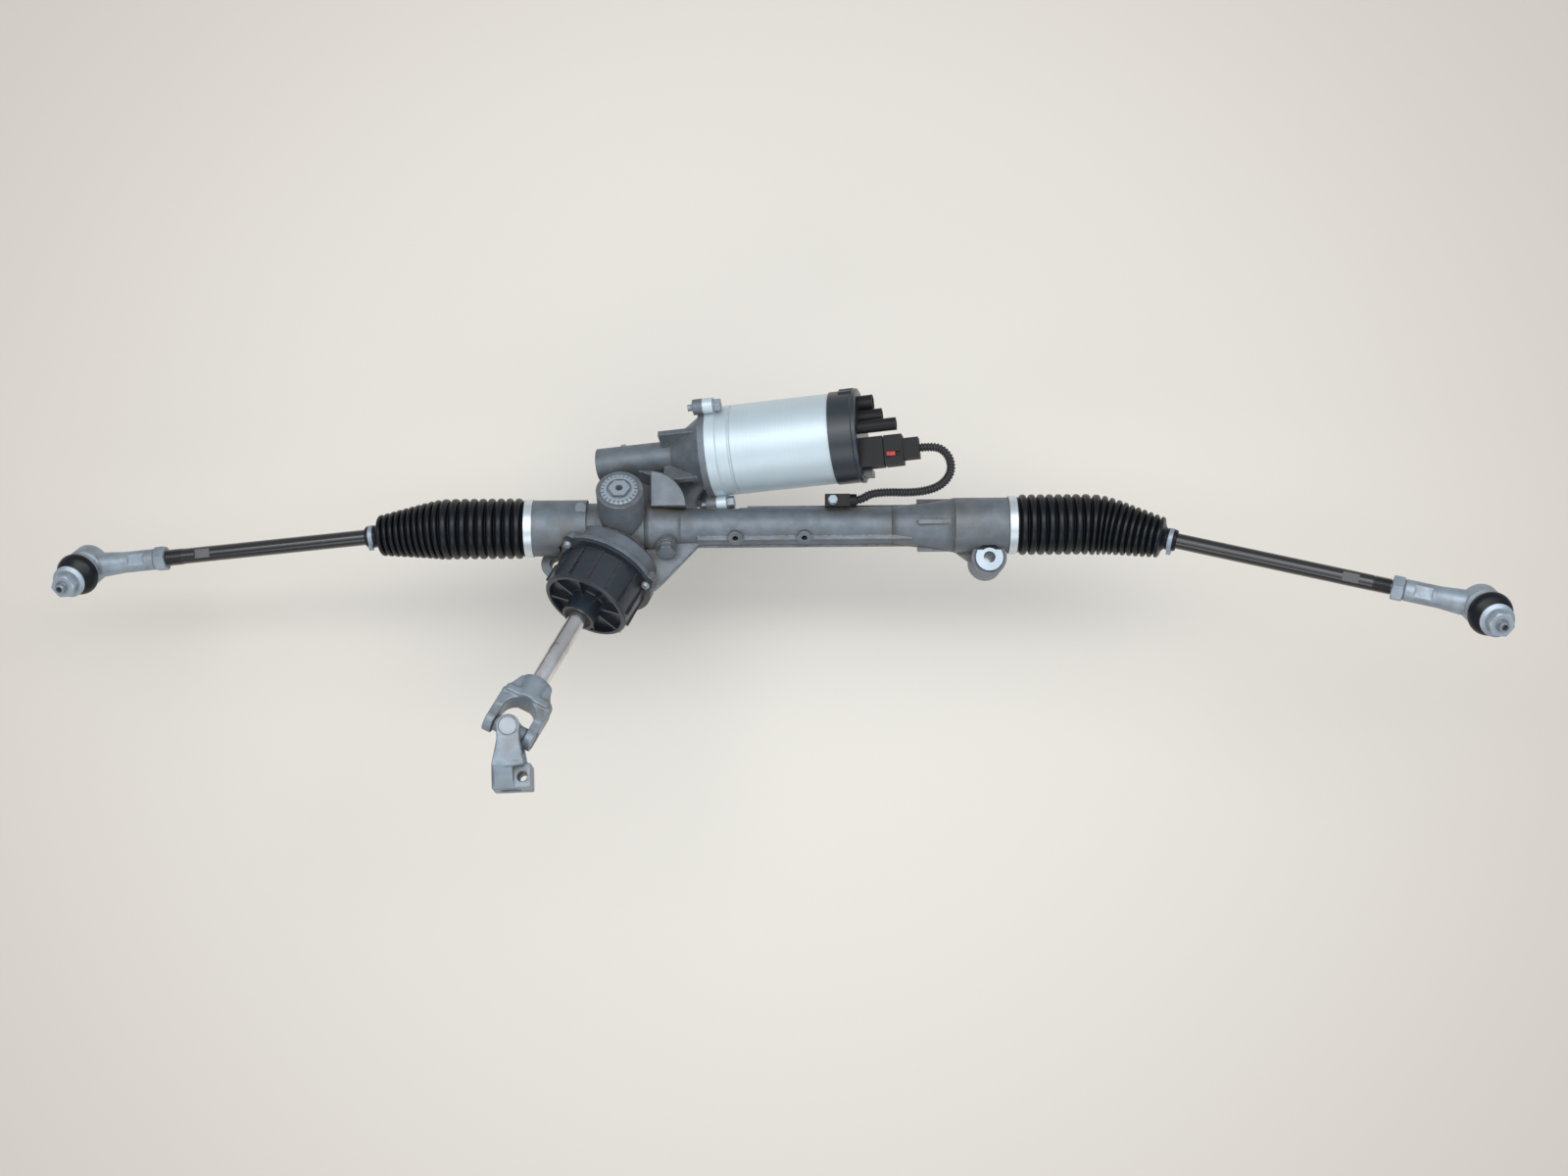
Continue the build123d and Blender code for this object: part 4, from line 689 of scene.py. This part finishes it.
joint_centre = Vector(joints["joint_lower"]["pos_m"])
shaft_dir = (joint_centre - Vector(joints["pinion_spin"]["pos_m"])).normalized()
clamp_dir = (Vector(mounts["steering_shaft_clamp"]["pos_m"]) - joint_centre).normalized()
upper_ears = Vector(joints["joint_upper"]["axis"])
lower_ears = Vector(joints["joint_lower"]["axis"])
clamp_side = clamp_dir.cross(lower_ears).normalized()
arch = arch_curve(ARCH_INNER_R) + arch_curve(ARCH_OUTER_R)[::-1]
yoke_shells = {
    "upper_yoke": [
        slab(upper_ears, -shaft_dir, arch, -UPPER_ARCH_HALF, UPPER_ARCH_HALF),
        slab(upper_ears, -shaft_dir, SHOULDER, -SHOULDER_HALF, SHOULDER_HALF),
    ],
    "lower_yoke": [slab(lower_ears, clamp_dir, arch, -LOWER_ARCH_HALF, LOWER_ARCH_HALF)],
}
for side in (-1, 1):
    levels = sorted(level * side for level in TOE_LEVELS)
    yoke_shells["lower_yoke"].append(slab(lower_ears * side, clamp_dir, TOE, *levels))
    levels = sorted(level * side for level in CHEEK_LEVELS)
    yoke_shells["lower_yoke"].append(slab(clamp_side, clamp_dir, CHEEK, *levels))
yokes = []
for node_name, shells in yoke_shells.items():
    skin = forged(node_name, shells)
    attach(skin, body_of(nodes[node_name])[0])
    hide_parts(node_name)
    yokes.append(skin)
print("yokes", [(skin.name, len(skin.data.polygons)) for skin in yokes])

# %% [markdown]
# Effects that several materials share are node groups, each built once. A group only gives masks
# and heights; every material keeps its own shader and decides what the mask does. Grain is the
# fine roughness of a casting or moulding, wear and highlight finds edges by comparing the true
# normal with a rounded one and marks them as rubbed wear and a painted highlight, grime and shade
# gathers where the surface is shut in as dirt and painted shade, turning lines are the fine rings
# that a lathe leaves, and stain is a broad blotch of old dirt. Each range gives the noise value at
# which an effect begins and the one at which it is full.

# %% Helpers for shader nodes
# Blender's Mix node has sockets for every kind of data; these are the places of the colour ones.
MIX_FACTOR, MIX_FIRST, MIX_SECOND, MIX_RESULT = 0, 6, 7, 2


def add_node(tree, kind, **settings):
    node = tree.nodes.new(kind)
    for name, value in settings.items():
        setattr(node, name, value)
    return node


def join(tree, source, target):
    """Links a socket to an input, or sets the input where the source is a plain value."""
    if isinstance(source, bpy.types.NodeSocket):
        tree.links.new(source, target)
    else:
        target.default_value = source


def calculate(tree, operation, first, second=0.0, clamp=False):
    node = add_node(tree, "ShaderNodeMath", operation=operation, use_clamp=clamp)
    join(tree, first, node.inputs[0])
    join(tree, second, node.inputs[1])
    return node.outputs[0]


def noise(tree, vector, scale, detail=4.0, roughness=0.55):
    node = add_node(tree, "ShaderNodeTexNoise")
    join(tree, vector, node.inputs["Vector"])
    join(tree, scale, node.inputs["Scale"])
    node.inputs["Detail"].default_value = detail
    node.inputs["Roughness"].default_value = roughness
    return node.outputs["Fac"]


def between(tree, value, low, high):
    """0 below low, 1 above high, and smooth between."""
    node = add_node(tree, "ShaderNodeMapRange", interpolation_type="SMOOTHSTEP")
    join(tree, value, node.inputs["Value"])
    join(tree, low, node.inputs["From Min"])
    join(tree, high, node.inputs["From Max"])
    return node.outputs["Result"]


def mix_colour(tree, factor, first, second):
    """Goes from the first colour to the second as the factor goes from 0 to 1."""
    node = add_node(tree, "ShaderNodeMix", data_type="RGBA")
    join(tree, factor, node.inputs[MIX_FACTOR])
    for value, place in ((first, MIX_FIRST), (second, MIX_SECOND)):
        linked = isinstance(value, bpy.types.NodeSocket)
        join(tree, value if linked else (*value, 1.0), node.inputs[place])
    return node.outputs[MIX_RESULT]


def start_group(name, inputs, outputs):
    """A new node group, with its inputs' and outputs' sockets and the object's own coordinates."""
    tree = bpy.data.node_groups.new(name, "ShaderNodeTree")
    for label, default in inputs:
        kind = "NodeSocketVector" if isinstance(default, tuple) else "NodeSocketFloat"
        socket = tree.interface.new_socket(label, in_out="INPUT", socket_type=kind)
        socket.default_value = default
    for label in outputs:
        tree.interface.new_socket(label, in_out="OUTPUT", socket_type="NodeSocketFloat")
    given = tree.nodes.new("NodeGroupInput")
    result = tree.nodes.new("NodeGroupOutput")
    place = tree.nodes.new("ShaderNodeTexCoord").outputs["Object"]
    return tree, given.outputs, result.inputs, place


# %% Shared effects
COARSE_SHARE = 0.06
TONE_RANGE = (0.32, 0.68)
WEAR_AND_HIGHLIGHT_RANGE = (0.40, 0.62)
STAIN_RANGE = (0.48, 0.66)
GRIME_AND_SHADE_SPREAD = 2.4


def build_grain():
    tree, given, result, place = start_group(
        "grain", [("Scale", 900.0), ("Softness", 0.5)], ["Height", "Tone"]
    )
    fine = noise(tree, place, given["Scale"], detail=6.0, roughness=0.65)
    coarse_scale = calculate(tree, "MULTIPLY", given["Scale"], COARSE_SHARE)
    coarse = noise(tree, place, coarse_scale, detail=3.0)
    soft = calculate(tree, "MULTIPLY", coarse, given["Softness"])
    join(tree, calculate(tree, "ADD", fine, soft), result["Height"])
    join(tree, between(tree, coarse, *TONE_RANGE), result["Tone"])
    return tree


# Edge wear and painted highlight: the mask finds edges, which the finishes make lighter both as rubbed wear
# and as a painted highlight.
def build_edge_wear_and_highlight():
    tree, given, result, place = start_group(
        "edge wear", [("Radius", 0.0008), ("Gain", 6.0), ("Break Up", 300.0)], ["Mask"]
    )
    bevel = add_node(tree, "ShaderNodeBevel", samples=4)
    join(tree, given["Radius"], bevel.inputs["Radius"])
    geometry = tree.nodes.new("ShaderNodeNewGeometry")
    dot = add_node(tree, "ShaderNodeVectorMath", operation="DOT_PRODUCT")
    tree.links.new(bevel.outputs["Normal"], dot.inputs[0])
    tree.links.new(geometry.outputs["Normal"], dot.inputs[1])
    bend = calculate(tree, "SUBTRACT", 1.0, dot.outputs["Value"], clamp=True)
    strong = calculate(tree, "MULTIPLY", bend, given["Gain"], clamp=True)
    patchy = between(tree, noise(tree, place, given["Break Up"]), *WEAR_AND_HIGHLIGHT_RANGE)
    join(tree, calculate(tree, "MULTIPLY", strong, patchy, clamp=True), result["Mask"])
    return tree


# Grime and painted shade: the mask darkens wherever ambient occlusion finds the surface shut in, both as
# dirt and as painted shade in the recesses.
def build_grime_and_shade():
    tree, given, result, place = start_group(
        "grime", [("Reach", 0.008), ("Amount", 0.6), ("Scale", 120.0)], ["Mask"]
    )
    shut_in = add_node(tree, "ShaderNodeAmbientOcclusion", samples=6)
    join(tree, given["Reach"], shut_in.inputs["Distance"])
    dark = calculate(tree, "SUBTRACT", 1.0, shut_in.outputs["AO"], clamp=True)
    spread = noise(tree, place, given["Scale"], detail=5.0)
    both = calculate(tree, "MULTIPLY", dark, calculate(tree, "MULTIPLY", spread, GRIME_AND_SHADE_SPREAD))
    join(tree, calculate(tree, "MULTIPLY", both, given["Amount"], clamp=True), result["Mask"])
    return tree


def build_turning_lines():
    tree, given, result, place = start_group(
        "turning lines", [("Axis", (1.0, 0.0, 0.0)), ("Lines", 1500.0)], ["Value"]
    )
    dot = add_node(tree, "ShaderNodeVectorMath", operation="DOT_PRODUCT")
    tree.links.new(place, dot.inputs[0])
    tree.links.new(given["Axis"], dot.inputs[1])
    lines = add_node(tree, "ShaderNodeTexNoise", noise_dimensions="1D")
    join(tree, calculate(tree, "MULTIPLY", dot.outputs["Value"], given["Lines"]), lines.inputs["W"])
    lines.inputs["Scale"].default_value = 1.0
    lines.inputs["Detail"].default_value = 5.0
    join(tree, lines.outputs["Fac"], result["Value"])
    return tree


def build_stain():
    tree, given, result, place = start_group(
        "stain", [("Scale", 22.0), ("Amount", 0.5)], ["Mask"]
    )
    broad = noise(tree, place, given["Scale"], detail=6.0, roughness=0.7)
    blotch = between(tree, broad, *STAIN_RANGE)
    join(tree, calculate(tree, "MULTIPLY", blotch, given["Amount"]), result["Mask"])
    return tree


GROUPS = {
    "stain": build_stain(),
    "grain": build_grain(),
    "edge_wear_and_highlight": build_edge_wear_and_highlight(),
    "grime": build_grime_and_shade(),
    "turning_lines": build_turning_lines(),
}
print("shared effects", list(GROUPS))

# %% [markdown]
# A finish is built the same way each time: the base colour varies a little in tone, stains darken
# it, dirt and painted shade darken it where it is shut in, edges are rubbed lighter and carry a
# painted highlight, and grain or turning lines roughen the surface. What makes one material differ
# from the next is how much of each it gets.

# %% The recipe for a finish
SECOND_TONE = 0.72
GRAIN_ROUGHNESS, GRAIN_MIDDLE = 0.12, 0.08
GRIME_AND_SHADE_ROUGHNESS = 0.25
STREAK_RANGE, STREAK_AMOUNT = (0.35, 0.65), 0.35
COAT_ROUGHNESS = 0.12


def use_group(tree, name, **values):
    node = tree.nodes.new("ShaderNodeGroup")
    node.node_tree = GROUPS[name]
    for label, value in values.items():
        node.inputs[label.replace("_", " ")].default_value = value
    return node.outputs


def make_finish(
    name, colour, roughness, metallic=0.0, tone=0.12, tone_colour=None, grain=(900.0, 0.00008),
    wear_and_highlight=None, grime=None, lines=None, coat=0.0, stain=None, soft_edge=0.0, shine=0.5,
):
    """A material from a few plain choices.

    grain is (scale, height), wear_and_highlight is (colour, radius, gain) for rubbed edges with a
    painted highlight, grime is (colour, reach, amount) for dirt and painted shade where
    the surface is shut in, lines is (axis, lines, height) and stain is (colour, scale, amount).
    soft_edge is the radius that a casting's edges seem to have, and shine is how strongly a
    surface that isn't metal mirrors.
    """
    material = bpy.data.materials.new(name)
    material.use_nodes = True
    tree = material.node_tree
    shader = tree.nodes["Principled BSDF"]
    grain_out = use_group(tree, "grain", Scale=grain[0])
    second = tone_colour or [channel * SECOND_TONE for channel in colour]
    base = mix_colour(tree, calculate(tree, "MULTIPLY", grain_out["Tone"], tone), colour, second)
    uneven = calculate(tree, "MULTIPLY", grain_out["Height"], GRAIN_ROUGHNESS)
    rough = calculate(tree, "ADD", uneven, roughness - GRAIN_MIDDLE)
    metal = metallic
    if stain:
        mask = use_group(tree, "stain", Scale=stain[1], Amount=stain[2])["Mask"]
        base = mix_colour(tree, mask, base, stain[0])
    # Dirt and painted shade darken the colour where the surface is shut in.
    if grime:
        mask = use_group(tree, "grime", Reach=grime[1], Amount=grime[2])["Mask"]
        base = mix_colour(tree, mask, base, grime[0])
        rougher = calculate(tree, "MULTIPLY", mask, GRIME_AND_SHADE_ROUGHNESS)
        rough = calculate(tree, "ADD", rough, rougher, clamp=True)
        metal = calculate(tree, "MULTIPLY", calculate(tree, "SUBTRACT", 1.0, mask), metallic)
    # Rubbed wear and a painted highlight lighten the edges.
    if wear_and_highlight:
        mask = use_group(tree, "edge_wear_and_highlight", Radius=wear_and_highlight[1], Gain=wear_and_highlight[2])["Mask"]
        base = mix_colour(tree, mask, base, wear_and_highlight[0])
    height = calculate(tree, "MULTIPLY", grain_out["Height"], grain[1])
    if lines:
        ridges = use_group(tree, "turning_lines", Axis=lines[0], Lines=lines[1])["Value"]
        height = calculate(tree, "ADD", height, calculate(tree, "MULTIPLY", ridges, lines[2]))
        streak = calculate(tree, "MULTIPLY", between(tree, ridges, *STREAK_RANGE), STREAK_AMOUNT)
        base = mix_colour(tree, streak, base, second)
    bump = tree.nodes.new("ShaderNodeBump")
    bump.inputs["Distance"].default_value = 1.0
    tree.links.new(height, bump.inputs["Height"])
    if soft_edge:
        bevel = add_node(tree, "ShaderNodeBevel", samples=6)
        bevel.inputs["Radius"].default_value = soft_edge
        tree.links.new(bevel.outputs["Normal"], bump.inputs["Normal"])
    join(tree, base, shader.inputs["Base Color"])
    join(tree, rough, shader.inputs["Roughness"])
    join(tree, metal, shader.inputs["Metallic"])
    tree.links.new(bump.outputs["Normal"], shader.inputs["Normal"])
    shader.inputs["Specular IOR Level"].default_value = shine
    shader.inputs["Coat Weight"].default_value = coat
    shader.inputs["Coat Roughness"].default_value = COAT_ROUGHNESS
    return material


def srgb(red, green, blue):
    """A colour as the eye sees it on screen, 0 to 255, as the linear colour that a shader takes."""
    values = [value / 255 for value in (red, green, blue)]
    return tuple(v / 12.92 if v <= 0.04045 else ((v + 0.055) / 1.055) ** 2.4 for v in values)


MOTOR_AXIS = tuple(MOTOR_DIR)
SOOT = srgb(38, 34, 30)
EARTH = srgb(84, 72, 54)

# %% Finishes of the metal pieces
FINISHES = {
    "housing_casting": make_finish(
        "die casting", srgb(116, 125, 134), 0.48, metallic=0.5, tone=0.6,
        tone_colour=srgb(92, 101, 108), grain=(1300.0, 0.00010),
        wear_and_highlight=(srgb(168, 174, 180), 0.0009, 5.0), grime=(EARTH, 0.010, 0.75),
        stain=(srgb(104, 94, 76), 20.0, 0.32), soft_edge=0.0011,
    ),
    "motor_shell": make_finish(
        "turned aluminium", srgb(204, 220, 228), 0.44, metallic=0.45, tone=0.25,
        tone_colour=srgb(184, 198, 206), grain=(500.0, 0.00002),
        lines=(MOTOR_AXIS, 1400.0, 0.000004), grime=(srgb(120, 116, 108), 0.006, 0.5),
        soft_edge=0.0008,
    ),
    "sleeve_steel": make_finish(
        "bright zinc", srgb(172, 186, 198), 0.44, metallic=0.7, tone=0.4,
        tone_colour=srgb(146, 158, 168), grain=(700.0, 0.00003),
        wear_and_highlight=(srgb(205, 214, 222), 0.0004, 4.0), grime=(srgb(96, 74, 54), 0.004, 0.7),
    ),
    "zinc_steel": make_finish(
        "pale zinc", srgb(158, 172, 184), 0.46, metallic=0.6, tone=0.5,
        tone_colour=srgb(126, 138, 148), grain=(900.0, 0.00006),
        wear_and_highlight=(srgb(196, 206, 214), 0.0006, 5.0), grime=(srgb(90, 82, 70), 0.005, 0.7),
        stain=(srgb(118, 102, 84), 60.0, 0.35), soft_edge=0.0007,
    ),
    "shaft_steel": make_finish(
        "polished shaft", srgb(232, 234, 236), 0.22, metallic=0.95, tone=0.6,
        tone_colour=srgb(168, 160, 160), grain=(420.0, 0.00001),
        stain=(srgb(126, 92, 82), 40.0, 0.7),
    ),
    "band_steel": make_finish(
        "band steel", srgb(214, 224, 230), 0.34, metallic=0.75, tone=0.3, grain=(500.0, 0.00002),
        grime=(srgb(96, 80, 64), 0.003, 0.4),
    ),
    "gear_steel": make_finish(
        "cut steel", srgb(165, 165, 166), 0.34, metallic=0.9, grain=(600.0, 0.00003),
    ),
    "bearing_steel": make_finish(
        "ground steel", srgb(150, 158, 166), 0.42, metallic=0.75, tone=0.5,
        tone_colour=srgb(120, 124, 128), grain=(600.0, 0.00002), grime=(SOOT, 0.003, 0.6),
    ),
    "spring_steel": make_finish("tempered steel", srgb(110, 112, 118), 0.35, metallic=0.9),
    "magnet_steel": make_finish("ground magnet", srgb(96, 96, 98), 0.35, metallic=0.9),
    "laminations": make_finish("stacked sheet", srgb(120, 120, 120), 0.45, metallic=0.8),
    "copper": make_finish("enamelled wire", srgb(184, 106, 58), 0.3, metallic=0.8),
    "joint_iron": make_finish(
        "cast joint", srgb(138, 152, 164), 0.40, metallic=0.45, tone=0.6,
        tone_colour=srgb(118, 124, 128), grain=(1000.0, 0.00014),
        wear_and_highlight=(srgb(192, 200, 206), 0.0010, 5.0), grime=(srgb(86, 66, 50), 0.007, 0.9),
        stain=(srgb(116, 96, 78), 45.0, 0.35),
    ),
}
print("metal finishes", len(FINISHES))

# %% Finishes of the plastic, rubber and painted pieces
FINISHES.update({
    "cover_plastic": make_finish(
        "cover moulding", srgb(28, 38, 50), 0.32, tone=0.5, tone_colour=srgb(20, 27, 36),
        shine=0.7, grain=(1200.0, 0.00006), wear_and_highlight=(srgb(92, 96, 104), 0.0007, 4.0),
        grime=(srgb(58, 50, 40), 0.006, 0.5),
    ),
    "ecu_plastic": make_finish(
        "cap moulding", srgb(26, 37, 48), 0.32, tone=0.6, tone_colour=srgb(34, 43, 49), shine=0.7,
        grain=(900.0, 0.00004), wear_and_highlight=(srgb(84, 90, 96), 0.0006, 4.0),
        grime=(srgb(70, 66, 56), 0.006, 0.4),
    ),
    # The socket moulding's lighter edges are a painted highlight.
    "socket_plastic": make_finish(
        "socket moulding", srgb(11, 13, 16), 0.50, tone=0.4, wear_and_highlight=(srgb(60, 63, 67), 0.0004, 2.0),
        grime=(srgb(40, 37, 33), 0.005, 0.4), shine=0.35,
    ),
    "lock_plastic": make_finish("lock moulding", srgb(188, 44, 36), 0.4, tone=0.2),
    "circuit_board": make_finish("circuit board", srgb(30, 92, 56), 0.4),
    "gear_nylon": make_finish("natural nylon", srgb(226, 218, 196), 0.5),
    "pad_plastic": make_finish("low-friction plastic", srgb(60, 58, 54), 0.45),
    "bush_rubber": make_finish("bush rubber", srgb(38, 37, 36), 0.7),
    "rod_paint": make_finish(
        "rod paint", srgb(5, 7, 10), 0.20, tone=0.3, grain=(260.0, 0.00003),
        grime=(srgb(70, 60, 50), 0.004, 0.1), coat=0.6, shine=0.6,
    ),
    # The boot's grime colour is painted shade: near-black in the valleys between the folds.
    "boot_rubber": make_finish(
        "boot rubber", srgb(3, 9, 16), 0.30, tone=0.5, tone_colour=srgb(10, 18, 26),
        grain=(700.0, 0.00004), grime=(srgb(5, 6, 8), 0.005, 0.9), shine=0.34,
    ),
    # The conduit's grime colour is painted shade: near-black in the grooves between the ribs.
    "lead_conduit": make_finish(
        "conduit", srgb(34, 37, 42), 0.34, tone=0.4, grime=(srgb(10, 11, 12), 0.002, 1.0),
        shine=0.7,
    ),
})
print("finishes", len(FINISHES))

# %% [markdown]
# The record names a finish for each of the model's nodes, so the materials are handed out by that
# list. Two nodes look different in the photograph from what the list says: the test plug has the
# casting's grey, and the band clamps are brighter. The added pieces take theirs by the same names.

# %% Hand out the finishes
def dress(piece, slot):
    piece.data.materials.clear()
    piece.data.materials.append(FINISHES[slot])


for subpart in frame["record"]["subparts"]:
    dress(nodes[subpart["node"]], subpart["material_slot"])
dress(nodes["test_plug"], "housing_casting")
dress(nodes["band_clamps"], "band_steel")
ADDED = {
    "housing_casting": castings,
    "joint_iron": yokes,
    "boot_rubber": [*boots, *ball_boots],
    "sleeve_steel": wire_rings,
    "rod_paint": threads[0::2],
    "bearing_steel": threads[1::2],
    "lead_conduit": [lead],
}
for slot, pieces in ADDED.items():
    for piece in pieces:
        dress(piece, slot)
print("dressed", len(nodes), "nodes and", sum(len(pieces) for pieces in ADDED.values()), "pieces")

# %% [markdown]
# The photograph has soft daylight from above on a warm pale ground. A wide lamp overhead gives the
# broad highlights along the cylinders, a narrow strip behind it sharpens them, a third lamp fills
# the front, and the world fills the rest. Each lamp has a name, a place, a size and a power in
# watts, and all of them face the frame's origin. The tie rods swing below the rack's lowest point,
# so the floor leaves room for them. It fills the photograph's view; only from a low angle does its
# far edge show.

# %% Floor and light
LAMPS = [
    ("overhead", (0.1, 0.35, 2.6), (4.0, 3.0), 44.0),
    ("sky strip", (0.0, 0.55, 2.3), (4.0, 0.5), 15.0),
    ("front fill", (-0.4, -2.2, 1.8), (2.2, 1.4), 12.0),
]
LAMP_TARGET = Vector((0, 0, 0))
SKY_COLOUR = (0.90, 0.95, 1.0, 1.0)
SKY_STRENGTH = 0.52
FLOOR_SIZE = 60.0
SWING_ROOM = 0.090
# The floor's two colours are a painted pool of light: lighter at the centre, darker towards the edges.
FLOOR_LIT_CENTRE = srgb(231, 226, 218)
FLOOR_SHADED_EDGE = srgb(204, 196, 188)
FLOOR_LIGHT_FALLOFF = (0.15, 1.15)
FLOOR_ROUGHNESS, FLOOR_SHINE = 0.9, 0.1


def add_lamp(name, place, size, power):
    lamp = bpy.data.lights.new(name, "AREA")
    lamp.shape = "RECTANGLE"
    lamp.size, lamp.size_y = size
    lamp.energy = power
    holder = bpy.data.objects.new(name, lamp)
    holder.location = place
    holder.rotation_mode = "QUATERNION"
    holder.rotation_quaternion = (LAMP_TARGET - Vector(place)).to_track_quat("-Z", "Y")
    bpy.context.scene.collection.objects.link(holder)


floor_z = cad_box[0].z - SWING_ROOM
half = FLOOR_SIZE / 2
outline = [(-half, -half), (half, -half), (half, half), (-half, half)]
corners = [(x, y, floor_z) for x, y in outline]
floor = add_mesh("floor", corners, [(0, 1, 2, 3)], smooth=False)
floor_material = bpy.data.materials.new("floor")
floor_material.use_nodes = True
floor_tree = floor_material.node_tree
floor_shader = floor_tree.nodes["Principled BSDF"]
# Painted pool of light: the floor's colour darkens with distance from the centre.
middle_out = add_node(floor_tree, "ShaderNodeVectorMath", operation="LENGTH")
floor_place = floor_tree.nodes.new("ShaderNodeTexCoord").outputs["Object"]
floor_tree.links.new(floor_place, middle_out.inputs[0])
fade = between(floor_tree, middle_out.outputs["Value"], *FLOOR_LIGHT_FALLOFF)
floor_colour = mix_colour(floor_tree, fade, FLOOR_LIT_CENTRE, FLOOR_SHADED_EDGE)
join(floor_tree, floor_colour, floor_shader.inputs["Base Color"])
floor_shader.inputs["Roughness"].default_value = FLOOR_ROUGHNESS
floor_shader.inputs["Specular IOR Level"].default_value = FLOOR_SHINE
floor.data.materials.append(floor_material)
for name, place, size, power in LAMPS:
    add_lamp(name, place, size, power)
world = bpy.data.worlds.new("daylight")
world.use_nodes = True
background = world.node_tree.nodes["Background"]
background.inputs["Color"].default_value = SKY_COLOUR
background.inputs["Strength"].default_value = SKY_STRENGTH
bpy.context.scene.world = world
bpy.context.scene.view_settings.view_transform = "Standard"
print("floor at", round(floor_z, 4))
